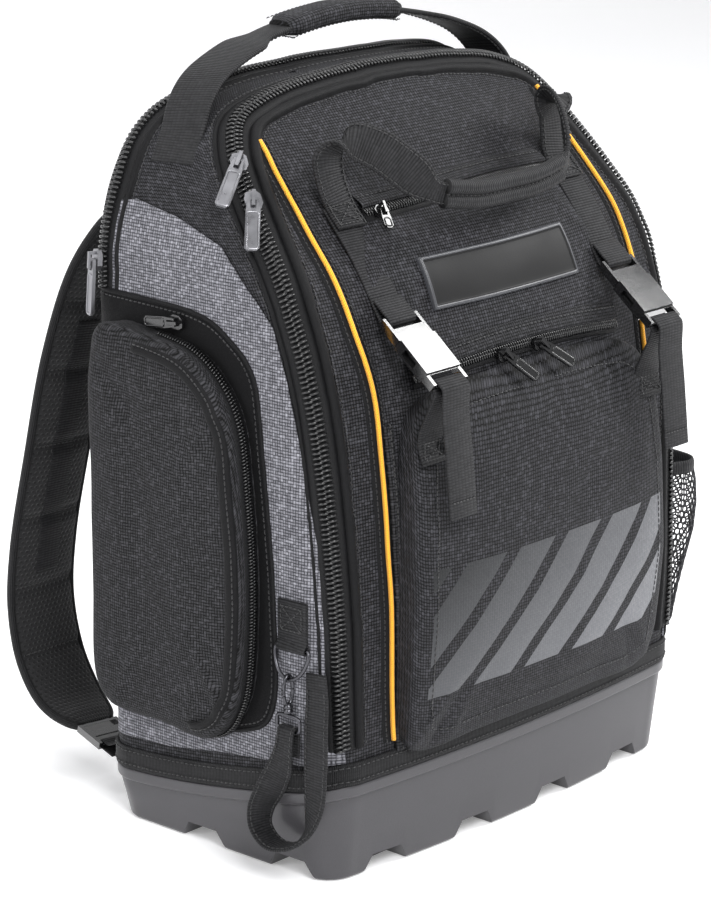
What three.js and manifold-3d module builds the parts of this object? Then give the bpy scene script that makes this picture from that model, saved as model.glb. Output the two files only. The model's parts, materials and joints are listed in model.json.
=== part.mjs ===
// A tool backpack on a moulded base: millimetres, +Z up, the front faces -Y.
import * as THREE from "three";
import { mergeVertices } from "three/addons/utils/BufferGeometryUtils.js";
import Module from "manifold-3d";

const wasm = await Module();
wasm.setup();

// Clearance that every piece keeps to its neighbours
const GAP = 0.3;
// Start of the rays that look for the bag's skin, and the overshoot of cutting blocks
const AWAY = 400;
const PAST = 20;
// How deep the room for a sewn strip goes into the skin
const ROOT = 6;

// The bag: a padded cloth shell. front and back are reaches from the plane y = 0.
const BAG = {
  height: 510, halfWidth: 187, front: 121, back: 110, bow: 20,
  wall: 4, frontRadius: 30, backRadius: 26,
};
// The moulded base: its rim slopes down to the back
const TUB = {
  rim: 70, backRim: 40, wall: 3.5, lipHeight: 9, lipOut: 1.4, collar: 6,
  draft: 7, chamfer: 3, floorTop: 15, floorUnder: 11, tread: 24,
};
const NOTCH = { height: 12, wide: 40, roof: 26, frontPitch: 85.4, sidePitch: 81, sideMiddle: -26 };
const BINDING = { height: 15, thick: 2 };
const PANEL = { thick: 1.2 };
const PIPING = { thick: 3.2, lift: 1 };
const ZIP = { tape: 22, coil: 9, tapeThick: 1, rise: 3.2, lift: 1.7 };
const SMALL_ZIP = { tape: 13, coil: 6, tapeThick: 0.9, rise: 2.4, lift: 0.9 };
const WELT = { wide: 8, thick: 3, lift: 0.9 };
const BACK_PAD = { halfWidth: 130, low: 66, high: 456, thick: 10, radius: 34 };
const FRONT_POCKET = { halfWidth: 133, low: 84, high: 328, depth: 26, wall: 2 };
const SIDE_POCKET = { front: -49, back: 88, low: 92, high: 357, depth: 26, wall: 2.2 };
const NET = { low: 88, high: 209, wall: 1.6, columns: 8, rows: 6, bar: 0.24 };
// between: where it stands from the pocket's zip to the upper zip
const PATCH = { wide: 149, high: 33, thick: 3, between: 0.4894, rim: 2.2, sunk: 0.9 };
const STRAP = { wide: 26, thick: 1.6 };
const BUCKLE = {
  wide: 33, thick: 9, frame: 6, wall: 2.3, slotWall: 2.7, bar: 3, slot: 6.2,
  plug: 18.5, socket: 28.6, mouth: 9.6, x: 113.6, fore: 1.0124, up: 0.6951, tilt: 39.7,
};
const UPPER_STRAP = { seats: [0.7745, 0.8039, 0.8314, 0.8569], fold: 16 };
const LOWER_STRAP = { sewnLow: 282, sewnHigh: 298, tail: 90, lean: 7 };
// The webbing narrows from taperFrom towards the grip, which stands seam wider than it
const TOP_HANDLE = {
  wide: 38, thick: 3, grip: 26, gripThick: 14, gripEdge: 6, gripSpan: [0.357, 0.643],
  taperFrom: 94, taper: 18, seam: 5,
};
const FRONT_HANDLE = {
  wide: 27, thick: 2.2, grip: 20, gripThick: 9, gripEdge: 4, gripSpan: [0.355, 0.645],
  taperFrom: 80, taper: 12, seam: 5,
  foot: [0.8314, 0.8569], footX: -112,
};
const SHOULDER = { wide: 62, thick: 11, edge: 5 };
const LOCK = { wide: 34, long: 26, thick: 5, bar: 3, slot: 6.4, side: 3 };
const WEB = { x: -146, high: 86, low: 60 };
const STERNUM = { wide: 18, thick: 1.6, high: 262, sag: 26, inward: 24 };
const LANYARD = { wide: 20, thick: 1.6 };
const TAB = { y: -78, low: 160, high: 195, wide: 25, thick: 5 };
const RING = { wide: 30, high: 21, wire: 2.6, lean: 12 };
const HOOK = {
  halfWidth: 4.4, halfHeight: 10, wire: 2.4, barrel: 6, barrelHigh: 5, gateLow: 0.32, gateHigh: 0.78,
};
const EYE = { halfWidth: 10, halfHeight: 5.5, wire: 2.4 };
const SLIDER = { wide: 11, long: 14, body: 3.4, post: 1.8, bar: 1.5, ridge: 2.4 };
const PULLERS = {
  large: { wide: 9.6, long: 37, thick: 2, window: 9, scale: 1 },
  small: { wide: 7.6, long: 27, thick: 1.8, window: 8, scale: 0.85 },
  tiny: { wide: 7.0, long: 15, thick: 1.6, window: 7, scale: 0.75 },
};

const CLOTH = { color: 0x2b2b2e, roughness: 0.95, metalness: 0 };
const LOOKS = {
  cloth: CLOTH,
  grey: { color: 0x85858d, roughness: 0.95, metalness: 0 },
  webbing: { color: 0x1d1d1f, roughness: 0.85, metalness: 0 },
  mesh: { color: 0x151516, roughness: 0.95, metalness: 0 },
  base: { color: 0x626165, roughness: 0.55, metalness: 0 },
  orange: { color: 0xf6a81c, roughness: 0.6, metalness: 0 },
  coil: { color: 0x19191b, roughness: 0.5, metalness: 0 },
  plastic: { color: 0x141415, roughness: 0.25, metalness: 0 },
  rubber: { color: 0x202224, roughness: 0.6, metalness: 0 },
  steel: { color: 0x6d6d70, roughness: 0.35, metalness: 1 },
  darkSteel: { color: 0x2c2c2e, roughness: 0.35, metalness: 1 },
};

// Shares of the bag's height, half width, front, bow and back at each level
const SECTIONS = table("up wide front bow back",
  [0.200, 1.000, 0.970, 0.55, 0.940],
  [0.300, 1.000, 0.995, 0.70, 0.950],
  [0.430, 1.000, 1.000, 0.85, 0.955],
  [0.560, 1.000, 0.985, 0.98, 0.965],
  [0.650, 1.000, 0.935, 1.05, 0.980],
  [0.725, 1.000, 0.835, 1.05, 1.000],
  [0.784, 0.995, 0.711, 1.05, 1.000],
  [0.843, 0.968, 0.512, 1.05, 0.991],
  [0.892, 0.930, 0.322, 1.00, 0.964],
  [0.931, 0.882, 0.182, 0.95, 0.918],
  [0.960, 0.800, 0.080, 0.88, 0.850],
  [0.982, 0.660, 0.000, 0.75, 0.770],
  [0.994, 0.470, -0.060, 0.50, 0.690],
  [1.000, 0.260, -0.110, 0.30, 0.600]);

// Routes on the bag, as shares of its half width, front reach and height
const FRONT_ZIP = table("out fore up",
  [0.955, 0.934, 0.185], [0.962, 0.909, 0.327], [0.957, 0.843, 0.457], [0.968, 0.785, 0.580],
  [0.984, 0.700, 0.690], [1.000, 0.612, 0.759], [0.979, 0.488, 0.812], [0.947, 0.322, 0.857],
  [0.909, 0.157, 0.904], [0.860, 0.020, 0.938], [0.770, -0.090, 0.968], [0.570, -0.120, 0.990],
  [0.300, -0.120, 1.000], [0, -0.120, 1.000]);
const REAR_ZIP = table("out fore up",
  [0.985, -0.770, 0.735], [0.985, -0.770, 0.800],
  [0.930, -0.720, 0.891], [0.780, -0.660, 0.950], [0.640, -0.600, 0.970], [0.430, -0.570, 0.990],
  [0.200, -0.520, 1.000], [0, -0.510, 1.000]);
const PIPING_ROUTE = table("out fore up",
  [0.757, 0.050, 0.941], [0.762, 0.140, 0.922], [0.772, 0.300, 0.882], [0.786, 0.500, 0.831],
  [0.786, 0.690, 0.765], [0.777, 0.790, 0.712], [0.754, 0.860, 0.647], [0.749, 0.910, 0.565],
  [0.740, 0.930, 0.467], [0.727, 0.940, 0.347], [0.720, 0.940, 0.250], [0.703, 0.930, 0.182]);
const UPPER_ZIP = table("out up",
  [-0.515, 0.846], [-0.280, 0.850], [0.100, 0.856], [0.515, 0.852]);

// Zip over the front pocket and the welt beside it, as shares of the pocket's half width
const POCKET_ZIP = table("out up",
  [-0.80, 1.008], [-0.45, 1.021], [0, 1.027], [0.45, 1.021], [0.80, 1.008]);
const WELT_ROUTE = table("out up",
  [-0.938, 0.150], [-0.950, 0.250], [-0.968, 0.400], [-0.983, 0.520], [-0.992, 0.600]);

// Outline of the front pocket, right half from the top: shares of its half width and height
const FRONT_OUTLINE = table("out up",
  [0, 1.000], [0.30, 0.998], [0.58, 0.988], [0.79, 0.966], [0.90, 0.915], [0.955, 0.800],
  [0.985, 0.620], [1.000, 0.420], [0.995, 0.170], [0.970, 0.030], [0.900, 0.000], [0.45, 0.000], [0, 0.000]);
// Outline of the side pocket: shares of its depth (0 front, 1 back) and height
const SIDE_OUTLINE = table("back up",
  [0.68, 1.000], [0.32, 0.965], [0.10, 0.850], [0.02, 0.620], [0.00, 0.300], [0.06, 0.090], [0.20, 0.000],
  [0.55, 0.000], [0.90, 0.010], [0.985, 0.060], [1.000, 0.300], [1.000, 0.620], [1.000, 0.900],
  [0.93, 1.000]);
// How a pocket's wall rounds over to its face: shares of the depth and of the outline
const POCKET_ROUND = table("out size",
  [0.40, 0.990], [0.76, 1.000], [0.94, 0.945], [1.02, 0.760], [1.06, 0.340]);
// Grey side panel, as shares of the bag's front reach and height
const GREY_OUTLINE = table("fore up",
  [-0.740, 0.850], [-0.560, 0.858], [0.100, 0.820], [0.390, 0.761], [0.500, 0.730], [0.590, 0.670],
  [0.700, 0.560], [0.790, 0.440], [0.840, 0.327], [0.870, 0.200], [0.880, 0.090], [-0.740, 0.070]);
// Black surround of the side pocket, cut out of the grey panel
const BLACK_OUTLINE = table("fore up",
  [-0.900, 0.735], [-0.350, 0.733], [0.060, 0.722], [0.310, 0.682], [0.410, 0.617], [0.457, 0.501],
  [0.507, 0.371], [0.517, 0.300], [0.505, 0.240], [0.430, 0.205], [0.250, 0.184], [-0.100, 0.170],
  [-0.900, 0.166]);
// Run of the side pocket's zip, as shares of the bag's front reach and height
const SIDE_ZIP = table("fore up",
  [-0.620, 0.712], [-0.200, 0.716], [0.090, 0.708], [0.300, 0.660], [0.405, 0.560], [0.450, 0.440],
  [0.455, 0.300], [0.410, 0.200], [0.300, 0.160]);
// Net pocket seen from above, back from its front edge, and how far it swells at each level
const NET_PLAN = table("y out",
  [-101, -9], [-109, 8], [-105, 20], [-88, 25.5], [-55, 26], [-15, 24], [20, 20], [46, 10], [60, 0]);
const NET_RISE = table("up out",
  [0, 0.02], [0.06, 0.30], [0.24, 0.46], [0.42, 0.68], [0.60, 0.93], [0.76, 1.00], [0.90, 0.96], [1, 0.86]);
// How far the front pocket stands out at each level, as a share of its depth
const FRONT_SWELL = table("up out",
  [0, 0.55], [0.10, 0.80], [0.35, 1.00], [0.62, 1.00], [0.84, 0.80], [0.95, 0.50], [1, 0.20]);
// Handles: chosen points of the left half (up and fore as shares of the bag), with the direction
// of the webbing's width
const TOP_ROUTE = table("x y up ax ay az",
  [-171, 44, 0.9078, 0, 1, 0], [-161, 45, 0.9431, 0, 1, 0], [-150, 48, 0.9804, 0, 1, 0],
  [-134, 51, 1.0078, 0, 1, 0], [-106, 53, 1.0314, 0, 1, 0], [-72, 54, 1.0490, 0, 1, 0],
  [-34, 54, 1.0608, 0, 1, 0], [0, 54, 1.0647, 0, 1, 0]);
const FRONT_ROUTE = table("x fore up ax ay az",
  [-115, 0.3554, 0.9000, 1, 0, 0.05], [-114, 0.3471, 0.9255, 0.98, -0.10, 0.15],
  [-107, 0.4132, 0.9431, 0.90, -0.25, 0.35], [-95, 0.5372, 0.9333, 0.62, -0.28, 0.72],
  [-83, 0.6612, 0.9078, 0.36, -0.24, 0.90], [-69, 0.7603, 0.8784, 0.14, -0.16, 0.97],
  [-48, 0.7934, 0.8686, 0, -0.12, 0.99], [-24, 0.8017, 0.8627, 0, -0.12, 0.99],
  [0, 0.8017, 0.8627, 0, -0.12, 0.99]);
const SHOULDER_ROUTE = table("x off z share",
  [-90, 6.4, 450, 0.62], [-94, 6.7, 437, 0.80], [-100, 16, 418, 0.95], [-109, 33, 396, 1],
  [-118, 49, 366, 1], [-127, 66, 308, 1],
  [-133, 81, 232, 1], [-135, 96, 162, 1], [-135, 100, 116, 1], [-135, 91, 76, 1],
  [-136, 71, 50, 0.92], [-138, 49, 40, 0.66], [-139, 41, 38, 0.42]);
// The lanyard's strap: how far it hangs outside the bag's side, and its width's direction and share
const LANYARD_ROUTE = table("out y z ax ay az share",
  [11.6, -78, 98, 0, 1, 0, 0.75], [11.8, -75, 84, -0.2, 0.98, 0, 0.9], [12, -66, 66, -0.6, 0.8, 0, 1],
  [12.5, -58, 50, -0.9, 0.4, 0.1, 1], [13, -58, 37, -1, 0.05, 0, 1], [13, -69, 28, -1, -0.1, 0, 1],
  [12, -85, 30, -0.9, -0.3, 0.1, 1], [10, -96, 42, -0.6, -0.75, 0.2, 1], [7.5, -100.5, 60, -0.2, -0.97, 0, 1],
  [6.2, -101, 86, 0, -1, 0, 1], [5.6, -101, 112, 0, -1, 0, 1], [3.4, -100, 132, 0, -1, 0, 0.95],
  [2.7, -98.5, 150, 0, -1, 0, 0.85]);
// Zip sliders: where they stand (shares of half width, front reach and height) and which way the tab hangs
const SLIDERS = table("name out fore up dx dy dz kind rest",
  ["rear", -0.985, -0.775, 0.772, 0, -0.02, -1, "large", 0],
  ["front_upper", -0.893, 0.090, 0.921, -0.27, 0.09, -0.96, "large", 0],
  ["front_lower", -0.930, 0.245, 0.879, -0.26, -0.19, -0.95, "large", 0],
  ["side_pocket", -1.010, -0.170, 0.715, 0, 1, -0.12, "small", 0],
  ["pocket_left", -0.140, 1.000, 0.660, 0.62, -0.15, -0.76, "small", 22],
  ["pocket_right", 0.060, 1.000, 0.661, 0.70, -0.15, -0.70, "small", 22],
  ["upper_pocket", -0.455, 0.500, 0.848, -0.25, -0.5, -0.82, "tiny", 0]);

const group = new THREE.Group();

function table(columns, ...rows) {
  const names = columns.split(" ");
  return rows.map((row) => Object.fromEntries(names.map((name, i) => [name, row[i]])));
}

function vec(x, y, z) {
  return new THREE.Vector3(x, y, z);
}

// Turns a closed geometry into a solid with its faces pointing out
function solidOf(geometry) {
  const bare = geometry.clone();
  for (const name of Object.keys(bare.attributes)) {
    if (name !== "position") bare.deleteAttribute(name);
  }
  const merged = mergeVertices(bare, 1e-4);
  const vertProperties = new Float32Array(merged.attributes.position.array);
  const index = Array.from(merged.index.array);
  const corner = (i) => new THREE.Vector3().fromArray(vertProperties, 3 * index[i]);
  let volume = 0;
  for (let i = 0; i < index.length; i += 3) {
    volume += corner(i).dot(corner(i + 1).cross(corner(i + 2)));
  }
  const triVerts = new Uint32Array(volume < 0 ? index.reverse() : index);
  return new wasm.Manifold(new wasm.Mesh({ numProp: 3, vertProperties, triVerts }));
}

function geometryOf(solid) {
  const mesh = solid.getMesh();
  const geometry = new THREE.BufferGeometry();
  geometry.setAttribute("position", new THREE.BufferAttribute(new Float32Array(mesh.vertProperties), 3));
  geometry.setIndex(Array.from(mesh.triVerts));
  return geometry;
}

function mirrored(solid) {
  return solidOf(geometryOf(solid).scale(-1, 1, 1));
}

function placed(solid, matrix) {
  return solidOf(geometryOf(solid).applyMatrix4(matrix));
}

function joined(...solids) {
  return solids.reduce((sum, next) => sum.add(next));
}

function cut(solid, ...tools) {
  return tools.reduce((rest, tool) => rest.subtract(tool), solid);
}

// Skins a row of rings, each with the same number of points
function loft(rings, loop = false) {
  const count = rings[0].length;
  const points = rings.flat();
  const index = [];
  const steps = loop ? rings.length : rings.length - 1;
  for (let r = 0; r < steps; r += 1) {
    const a = r * count;
    const b = ((r + 1) % rings.length) * count;
    for (let i = 0; i < count; i += 1) {
      const j = (i + 1) % count;
      index.push(a + i, a + j, b + i, a + j, b + j, b + i);
    }
  }
  if (!loop) {
    capEnd(points, index, 0, count, true);
    capEnd(points, index, (rings.length - 1) * count, count, false);
  }
  const geometry = new THREE.BufferGeometry();
  geometry.setAttribute("position", new THREE.Float32BufferAttribute(points.flatMap((p) => p.toArray()), 3));
  geometry.setIndex(index);
  return solidOf(geometry);
}

function capEnd(points, index, start, count, flipped) {
  const middle = new THREE.Vector3();
  for (let i = 0; i < count; i += 1) middle.addScaledVector(points[start + i], 1 / count);
  const hub = points.push(middle) - 1;
  for (let i = 0; i < count; i += 1) {
    const a = start + i;
    const b = start + ((i + 1) % count);
    index.push(...(flipped ? [hub, b, a] : [hub, a, b]));
  }
}

function box(x0, x1, y0, y1, z0, z1) {
  const geometry = new THREE.BoxGeometry(x1 - x0, y1 - y0, z1 - z0);
  geometry.translate((x0 + x1) / 2, (y0 + y1) / 2, (z0 + z1) / 2);
  return solidOf(geometry);
}

function cylinder(radius, length, sides, matrix) {
  return solidOf(new THREE.CylinderGeometry(radius, radius, length, sides).applyMatrix4(matrix));
}

// Extrudes a list of [a, b] points along the third axis
function prism(outline, depth, matrix) {
  const shape = new THREE.Shape(outline.map(([a, b]) => new THREE.Vector2(a, b)));
  const geometry = new THREE.ExtrudeGeometry(shape, { depth, bevelEnabled: false });
  return solidOf(geometry.applyMatrix4(matrix));
}

// Local (a, b) in X and Z, extruded along Y from y0
function alongY(outline, y0, y1) {
  const turn = new THREE.Matrix4().makeBasis(vec(1, 0, 0), vec(0, 0, 1), vec(0, 1, 0));
  return prism(outline, y1 - y0, new THREE.Matrix4().makeTranslation(0, y0, 0).multiply(turn));
}

// Local (a, b) in Y and Z, extruded along X from x0
function alongX(outline, x0, x1) {
  const turn = new THREE.Matrix4().makeBasis(vec(0, 1, 0), vec(0, 0, 1), vec(1, 0, 0));
  return prism(outline, x1 - x0, new THREE.Matrix4().makeTranslation(x0, 0, 0).multiply(turn));
}

function add(name, solid, look) {
  const mesh = new THREE.Mesh(geometryOf(solid), new THREE.MeshStandardMaterial(LOOKS[look]));
  mesh.name = name;
  group.add(mesh);
  return solid;
}

// How many faces each stretch of a section has, on the outside and on the inside
const FINE = { front: 6, corner: 4, side: 2, heel: 3, back: 2 };
const PLAIN = { front: 4, corner: 2, side: 1, heel: 2, back: 1 };

// The bag's sections
function levelRing(row, grow, levelAt, steps = FINE) {
  const halfWidth = row.wide * BAG.halfWidth + grow;
  const front = -row.front * BAG.front - grow;
  const back = row.back * BAG.back + grow;
  const rf = Math.min(BAG.frontRadius + grow, halfWidth / 2);
  const rb = Math.min(BAG.backRadius + grow, halfWidth / 2);
  const flat = halfWidth - rf;
  const bow = (x) => row.bow * BAG.bow * (x / halfWidth) ** 2;
  const cornerY = front + bow(flat);
  const points = [];
  const put = (x, y) => points.push(vec(x, y, levelAt(y)));
  const arc = (cx, cy, r, from, first, last, steps) => {
    for (let i = first; i <= last; i += 1) {
      const angle = THREE.MathUtils.degToRad(from + (90 * i) / steps);
      put(cx + r * Math.cos(angle), cy + r * Math.sin(angle));
    }
  };
  const sideStart = cornerY + rf;
  const sideEnd = back - rb;
  for (let i = 0; i <= steps.front; i += 1) {
    const x = -flat + (2 * flat * i) / steps.front;
    put(x, front + bow(x));
  }
  arc(flat, cornerY + rf, rf, -90, 1, steps.corner, steps.corner);
  const sideAt = (i) => sideStart + ((sideEnd - sideStart) * i) / steps.side;
  for (let i = 1; i < steps.side; i += 1) put(halfWidth, sideAt(i));
  arc(halfWidth - rb, back - rb, rb, 0, 0, steps.heel, steps.heel);
  for (let i = 1; i < steps.back; i += 1) put((halfWidth - rb) * (1 - (2 * i) / steps.back), back);
  arc(-(halfWidth - rb), back - rb, rb, 90, 0, steps.heel, steps.heel);
  for (let i = steps.side - 1; i >= 1; i -= 1) put(-halfWidth, sideAt(i));
  arc(-flat, cornerY + rf, rf, 180, 0, steps.corner - 1, steps.corner);
  return points;
}

// Height of the base's rim, level in front and lower towards the back
function rimAt(y) {
  const start = -BAG.front + 14;
  const share = THREE.MathUtils.clamp((y - start) / (BAG.back - 23 - start), 0, 1);
  return TUB.rim - (TUB.rim - TUB.backRim) * (1 - (1 - share) ** 1.6);
}

function bagForm(grow, bottomAt, steps = FINE, rows = SECTIONS) {
  const rings = rows.map((row) => levelRing(row, grow, () => row.up * (BAG.height + grow), steps));
  return loft([levelRing(SECTIONS[0], grow, bottomAt, steps), ...rings]);
}

// Closest points and normals on a solid's skin
function skinOf(solid) {
  const geometry = geometryOf(solid);
  geometry.computeVertexNormals();
  const place = geometry.attributes.position;
  const facing = geometry.attributes.normal;
  const index = geometry.index.array;
  const faces = [];
  for (let i = 0; i < index.length; i += 3) {
    const ids = [index[i], index[i + 1], index[i + 2]];
    const corners = ids.map((id) => new THREE.Vector3().fromBufferAttribute(place, id));
    const normals = ids.map((id) => new THREE.Vector3().fromBufferAttribute(facing, id));
    faces.push({ triangle: new THREE.Triangle(...corners), normals });
  }
  const answer = (face, point) => {
    const share = face.triangle.getBarycoord(point, new THREE.Vector3());
    const normal = new THREE.Vector3();
    share.toArray().forEach((weight, i) => normal.addScaledVector(face.normals[i], weight));
    return { point, normal: normal.normalize() };
  };
  const closest = (target) => {
    let best = null;
    let reach = Infinity;
    const near = new THREE.Vector3();
    for (const face of faces) {
      face.triangle.closestPointToPoint(target, near);
      const distance = near.distanceTo(target);
      if (distance < reach) {
        reach = distance;
        best = { face, point: near.clone() };
      }
    }
    return answer(best.face, best.point);
  };
  const hit = (origin, direction) => {
    const ray = new THREE.Ray(origin, direction);
    let best = null;
    for (const face of faces) {
      const { a, b, c } = face.triangle;
      const found = ray.intersectTriangle(a, b, c, false, vec(0, 0, 0));
      if (found && (!best || found.distanceTo(origin) < best.point.distanceTo(origin))) {
        best = { face, point: found };
      }
    }
    return answer(best.face, best.point);
  };
  return { closest, hit };
}

function smoothRoute(points, count) {
  const curve = new THREE.CatmullRomCurve3(points, false, "centripetal");
  return curve.getSpacedPoints(count);
}

function tangentAt(points, i) {
  const before = points[Math.max(i - 1, 0)];
  const after = points[Math.min(i + 1, points.length - 1)];
  return after.clone().sub(before).normalize();
}

// A strip of one section along a route: each section point is [across, out]
function strip(points, normals, section, shareAt = () => 1) {
  const rings = points.map((point, i) => {
    const along = tangentAt(points, i);
    const across = along.clone().cross(normals[i]).normalize();
    const out = across.clone().cross(along).normalize();
    const wide = shareAt(i / (points.length - 1));
    return section.map(([a, o]) => point.clone().addScaledVector(across, a * wide).addScaledVector(out, o));
  });
  return loft(rings);
}

function flatSection(wide, thick, lift = 0) {
  return [[-wide / 2, lift], [wide / 2, lift], [wide / 2, lift + thick], [-wide / 2, lift + thick]];
}

function zipSection(zip, grow = 0) {
  const tape = zip.tape / 2 + grow;
  const coil = zip.coil / 2 + grow;
  const low = grow ? -ROOT : 0;
  return [[-tape, low], [tape, low], [tape, zip.tapeThick + grow], [coil, zip.rise + grow],
    [-coil, zip.rise + grow], [-tape, zip.tapeThick + grow]];
}

function roundSection(thick, sides) {
  return Array.from({ length: sides }, (_, i) => {
    const angle = (2 * Math.PI * i) / sides;
    return [(thick / 2) * Math.cos(angle), thick / 2 + (thick / 2) * Math.sin(angle)];
  });
}

// A strip that lies on the bag along a route, lifted as far as its chords need to clear the skin
function roomFor(points, count, section, lift) {
  const spots = smoothRoute(points, count).map((point) => bagSkin.closest(point));
  const lifted = spots.map((spot) => spot.point.addScaledVector(spot.normal, lift));
  return strip(lifted, spots.map((spot) => spot.normal), section);
}

function seated(points, count, section, lift) {
  return cut(roomFor(points, count, section, lift), bagKeep);
}

function bagPoint(row, side) {
  return vec(side * row.out * BAG.halfWidth, -row.fore * BAG.front, row.up * BAG.height);
}

function archPoints(rows) {
  const left = rows.map((row) => bagPoint(row, -1));
  const right = rows.slice(0, -1).reverse().map((row) => bagPoint(row, 1));
  return [...left, ...right];
}

const bagOuter = bagForm(0, (y) => rimAt(y) + TUB.collar + GAP);
const bagSkin = skinOf(bagForm(0, () => -BAG.height));
const bagKeep = bagForm(GAP, (y) => rimAt(y) - TUB.collar);

// Main form
function makeBody() {
  const everyOther = SECTIONS.filter((row, i) => i % 2 === 0);
  const inner = bagForm(-BAG.wall, () => 0, PLAIN, everyOther);
  add("body_shell", cut(bagOuter, inner), "cloth");
}

function tubRing(levelAt, grow, steps = FINE) {
  return levelRing(SECTIONS[0], grow, levelAt, steps);
}

function makeTub() {
  const level = (z) => () => z;
  const outer = loft([
    tubRing(level(0), -TUB.draft - TUB.chamfer),
    tubRing(level(TUB.chamfer), -TUB.draft),
    tubRing((y) => rimAt(y) - TUB.lipHeight - 2, -1),
    tubRing((y) => rimAt(y) - TUB.lipHeight, TUB.lipOut),
    tubRing((y) => rimAt(y) - 1.5, TUB.lipOut),
    tubRing((y) => rimAt(y) - 1, 0),
    tubRing((y) => rimAt(y) + TUB.collar, 0),
  ]);
  const inner = loft([
    tubRing(level(TUB.floorTop), -TUB.draft - TUB.wall - 6, PLAIN),
    tubRing(level(TUB.floorTop + 8), -TUB.draft - TUB.wall + 2, PLAIN),
    tubRing((y) => rimAt(y) + TUB.collar + 1, -TUB.wall, PLAIN),
  ]);
  const under = loft([
    tubRing(level(-1), -TUB.draft - TUB.tread, PLAIN),
    tubRing(level(TUB.floorUnder), -TUB.draft - TUB.tread, PLAIN),
  ]);
  const trapezoid = (middle) => [[middle - NOTCH.wide / 2, -1], [middle + NOTCH.wide / 2, -1],
    [middle + NOTCH.roof / 2, NOTCH.height], [middle - NOTCH.roof / 2, NOTCH.height]];
  const notches = [];
  for (const share of [-1.5, -0.5, 0.5, 1.5]) {
    const outline = trapezoid(share * NOTCH.frontPitch);
    notches.push(alongY(outline, -BAG.front - PAST, -BAG.front + TUB.draft + TUB.tread));
    notches.push(alongY(outline, BAG.back - TUB.draft - TUB.tread, BAG.back + PAST));
  }
  for (const share of [-0.5, 0.5]) {
    const outline = trapezoid(NOTCH.sideMiddle + share * NOTCH.sidePitch);
    notches.push(alongX(outline, -BAG.halfWidth - PAST, -BAG.halfWidth + TUB.draft + TUB.tread));
    notches.push(alongX(outline, BAG.halfWidth - TUB.draft - TUB.tread, BAG.halfWidth + PAST));
  }
  add("base_tub", cut(outer, inner, under, ...notches), "base");
}

function bandForm(grow, low, high) {
  return loft([tubRing((y) => rimAt(y) + low, grow), tubRing((y) => rimAt(y) + high, grow)]);
}

function makeBinding() {
  const inside = bandForm(GAP, -1, BINDING.height + 1);
  add("base_binding", cut(bandForm(GAP + BINDING.thick, 0, BINDING.height), inside), "webbing");
}

function panelLayer(side, outline, thick, bottom) {
  const bottomAt = (y) => rimAt(y) + BINDING.height + GAP;
  const layer = cut(bagForm(GAP + thick, bottomAt), bagForm(GAP, () => bottom));
  const points = outline.map((row) => [-row.fore * BAG.front, row.up * BAG.height]);
  const far = BAG.halfWidth + PAST;
  const near = BAG.halfWidth * 0.72;
  return layer.intersect(alongX(points, side < 0 ? -far : near, side < 0 ? -near : far));
}

// The block that the lanyard's tab is cut from
function tabBlock(gap) {
  const half = TAB.wide / 2 + gap;
  const low = TAB.low - gap;
  const high = TAB.high + gap;
  return alongX([[TAB.y - half, low], [TAB.y + half, low], [TAB.y + half, high], [TAB.y - half, high]],
    -BAG.halfWidth - PAST, -BAG.halfWidth + 2 * PAST);
}

function makeSidePanels(frontZipRoom, rearZipRoom, sideZipRoom) {
  const black = alongX(BLACK_OUTLINE.map((row) => [-row.fore * BAG.front, row.up * BAG.height]),
    -BAG.halfWidth - PAST, -BAG.halfWidth / 2);
  const left = panelLayer(-1, GREY_OUTLINE, PANEL.thick, 0);
  const right = panelLayer(1, GREY_OUTLINE, PANEL.thick, 0);
  add("side_panel_left", cut(left, black, tabBlock(GAP), frontZipRoom, rearZipRoom, sideZipRoom), "grey");
  return add("side_panel_right", cut(right, frontZipRoom, rearZipRoom), "grey");
}

// A zip, and the room that other pieces leave for it
function zipOnBag(name, points, count, zip) {
  add(name, seated(points, count, zipSection(zip), zip.lift), "coil");
  return roomFor(points, count, zipSection(zip, GAP), zip.lift);
}

// Points on the bag's front at given shares of the half width and height
function frontSpot(x, z) {
  return bagSkin.hit(vec(x, -AWAY, z), vec(0, 1, 0)).point;
}

function sideSpot(y, z, side) {
  return bagSkin.hit(vec(side * AWAY, y, z), vec(-side, 0, 0)).point;
}

function valueAt(rows, key, share, value) {
  const next = rows.findIndex((row) => row[key] >= share);
  if (next <= 0) return rows[Math.max(next, 0)][value];
  const [low, high] = [rows[next - 1], rows[next]];
  const part = (share - low[key]) / (high[key] - low[key]);
  return low[value] + part * (high[value] - low[value]);
}

function makePiping() {
  const points = PIPING_ROUTE.map((row) => bagPoint(row, 1));
  const right = seated(points, 17, roundSection(PIPING.thick, 5), PIPING.lift);
  add("piping_right", right, "orange");
  add("piping_left", mirrored(right), "orange");
}

// Front pocket
function frontPocketForm(inset, rounds = POCKET_ROUND) {
  const size = FRONT_POCKET;
  const high = size.high - size.low;
  const half = FRONT_OUTLINE.map((row) => [row.out * size.halfWidth, row.up]);
  const mirror = half.slice(1, -1).reverse().map(([x, up]) => [-x, up]);
  const outline = [...half, ...mirror];
  const ring = (share, scale) => outline.map(([x0, up0]) => {
    const x = x0 * scale * (1 - inset / size.halfWidth);
    const up = 0.5 + (up0 - 0.5) * scale * (1 - (2 * inset) / high);
    const z = size.low + up * high;
    const reach = share * (size.depth - inset) * valueAt(FRONT_SWELL, "up", up, "out");
    return frontSpot(x, z).add(vec(0, -reach, 0));
  });
  const start = outline.map(([x, up]) => {
    const scale = 0.95 * (1 - inset / size.halfWidth);
    return frontSpot(x * scale, size.low + (0.5 + (up - 0.5) * scale) * high).add(vec(0, 12, 0));
  });
  return loft([start, ...rounds.map((row) => ring(row.out, row.size))]);
}

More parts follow.
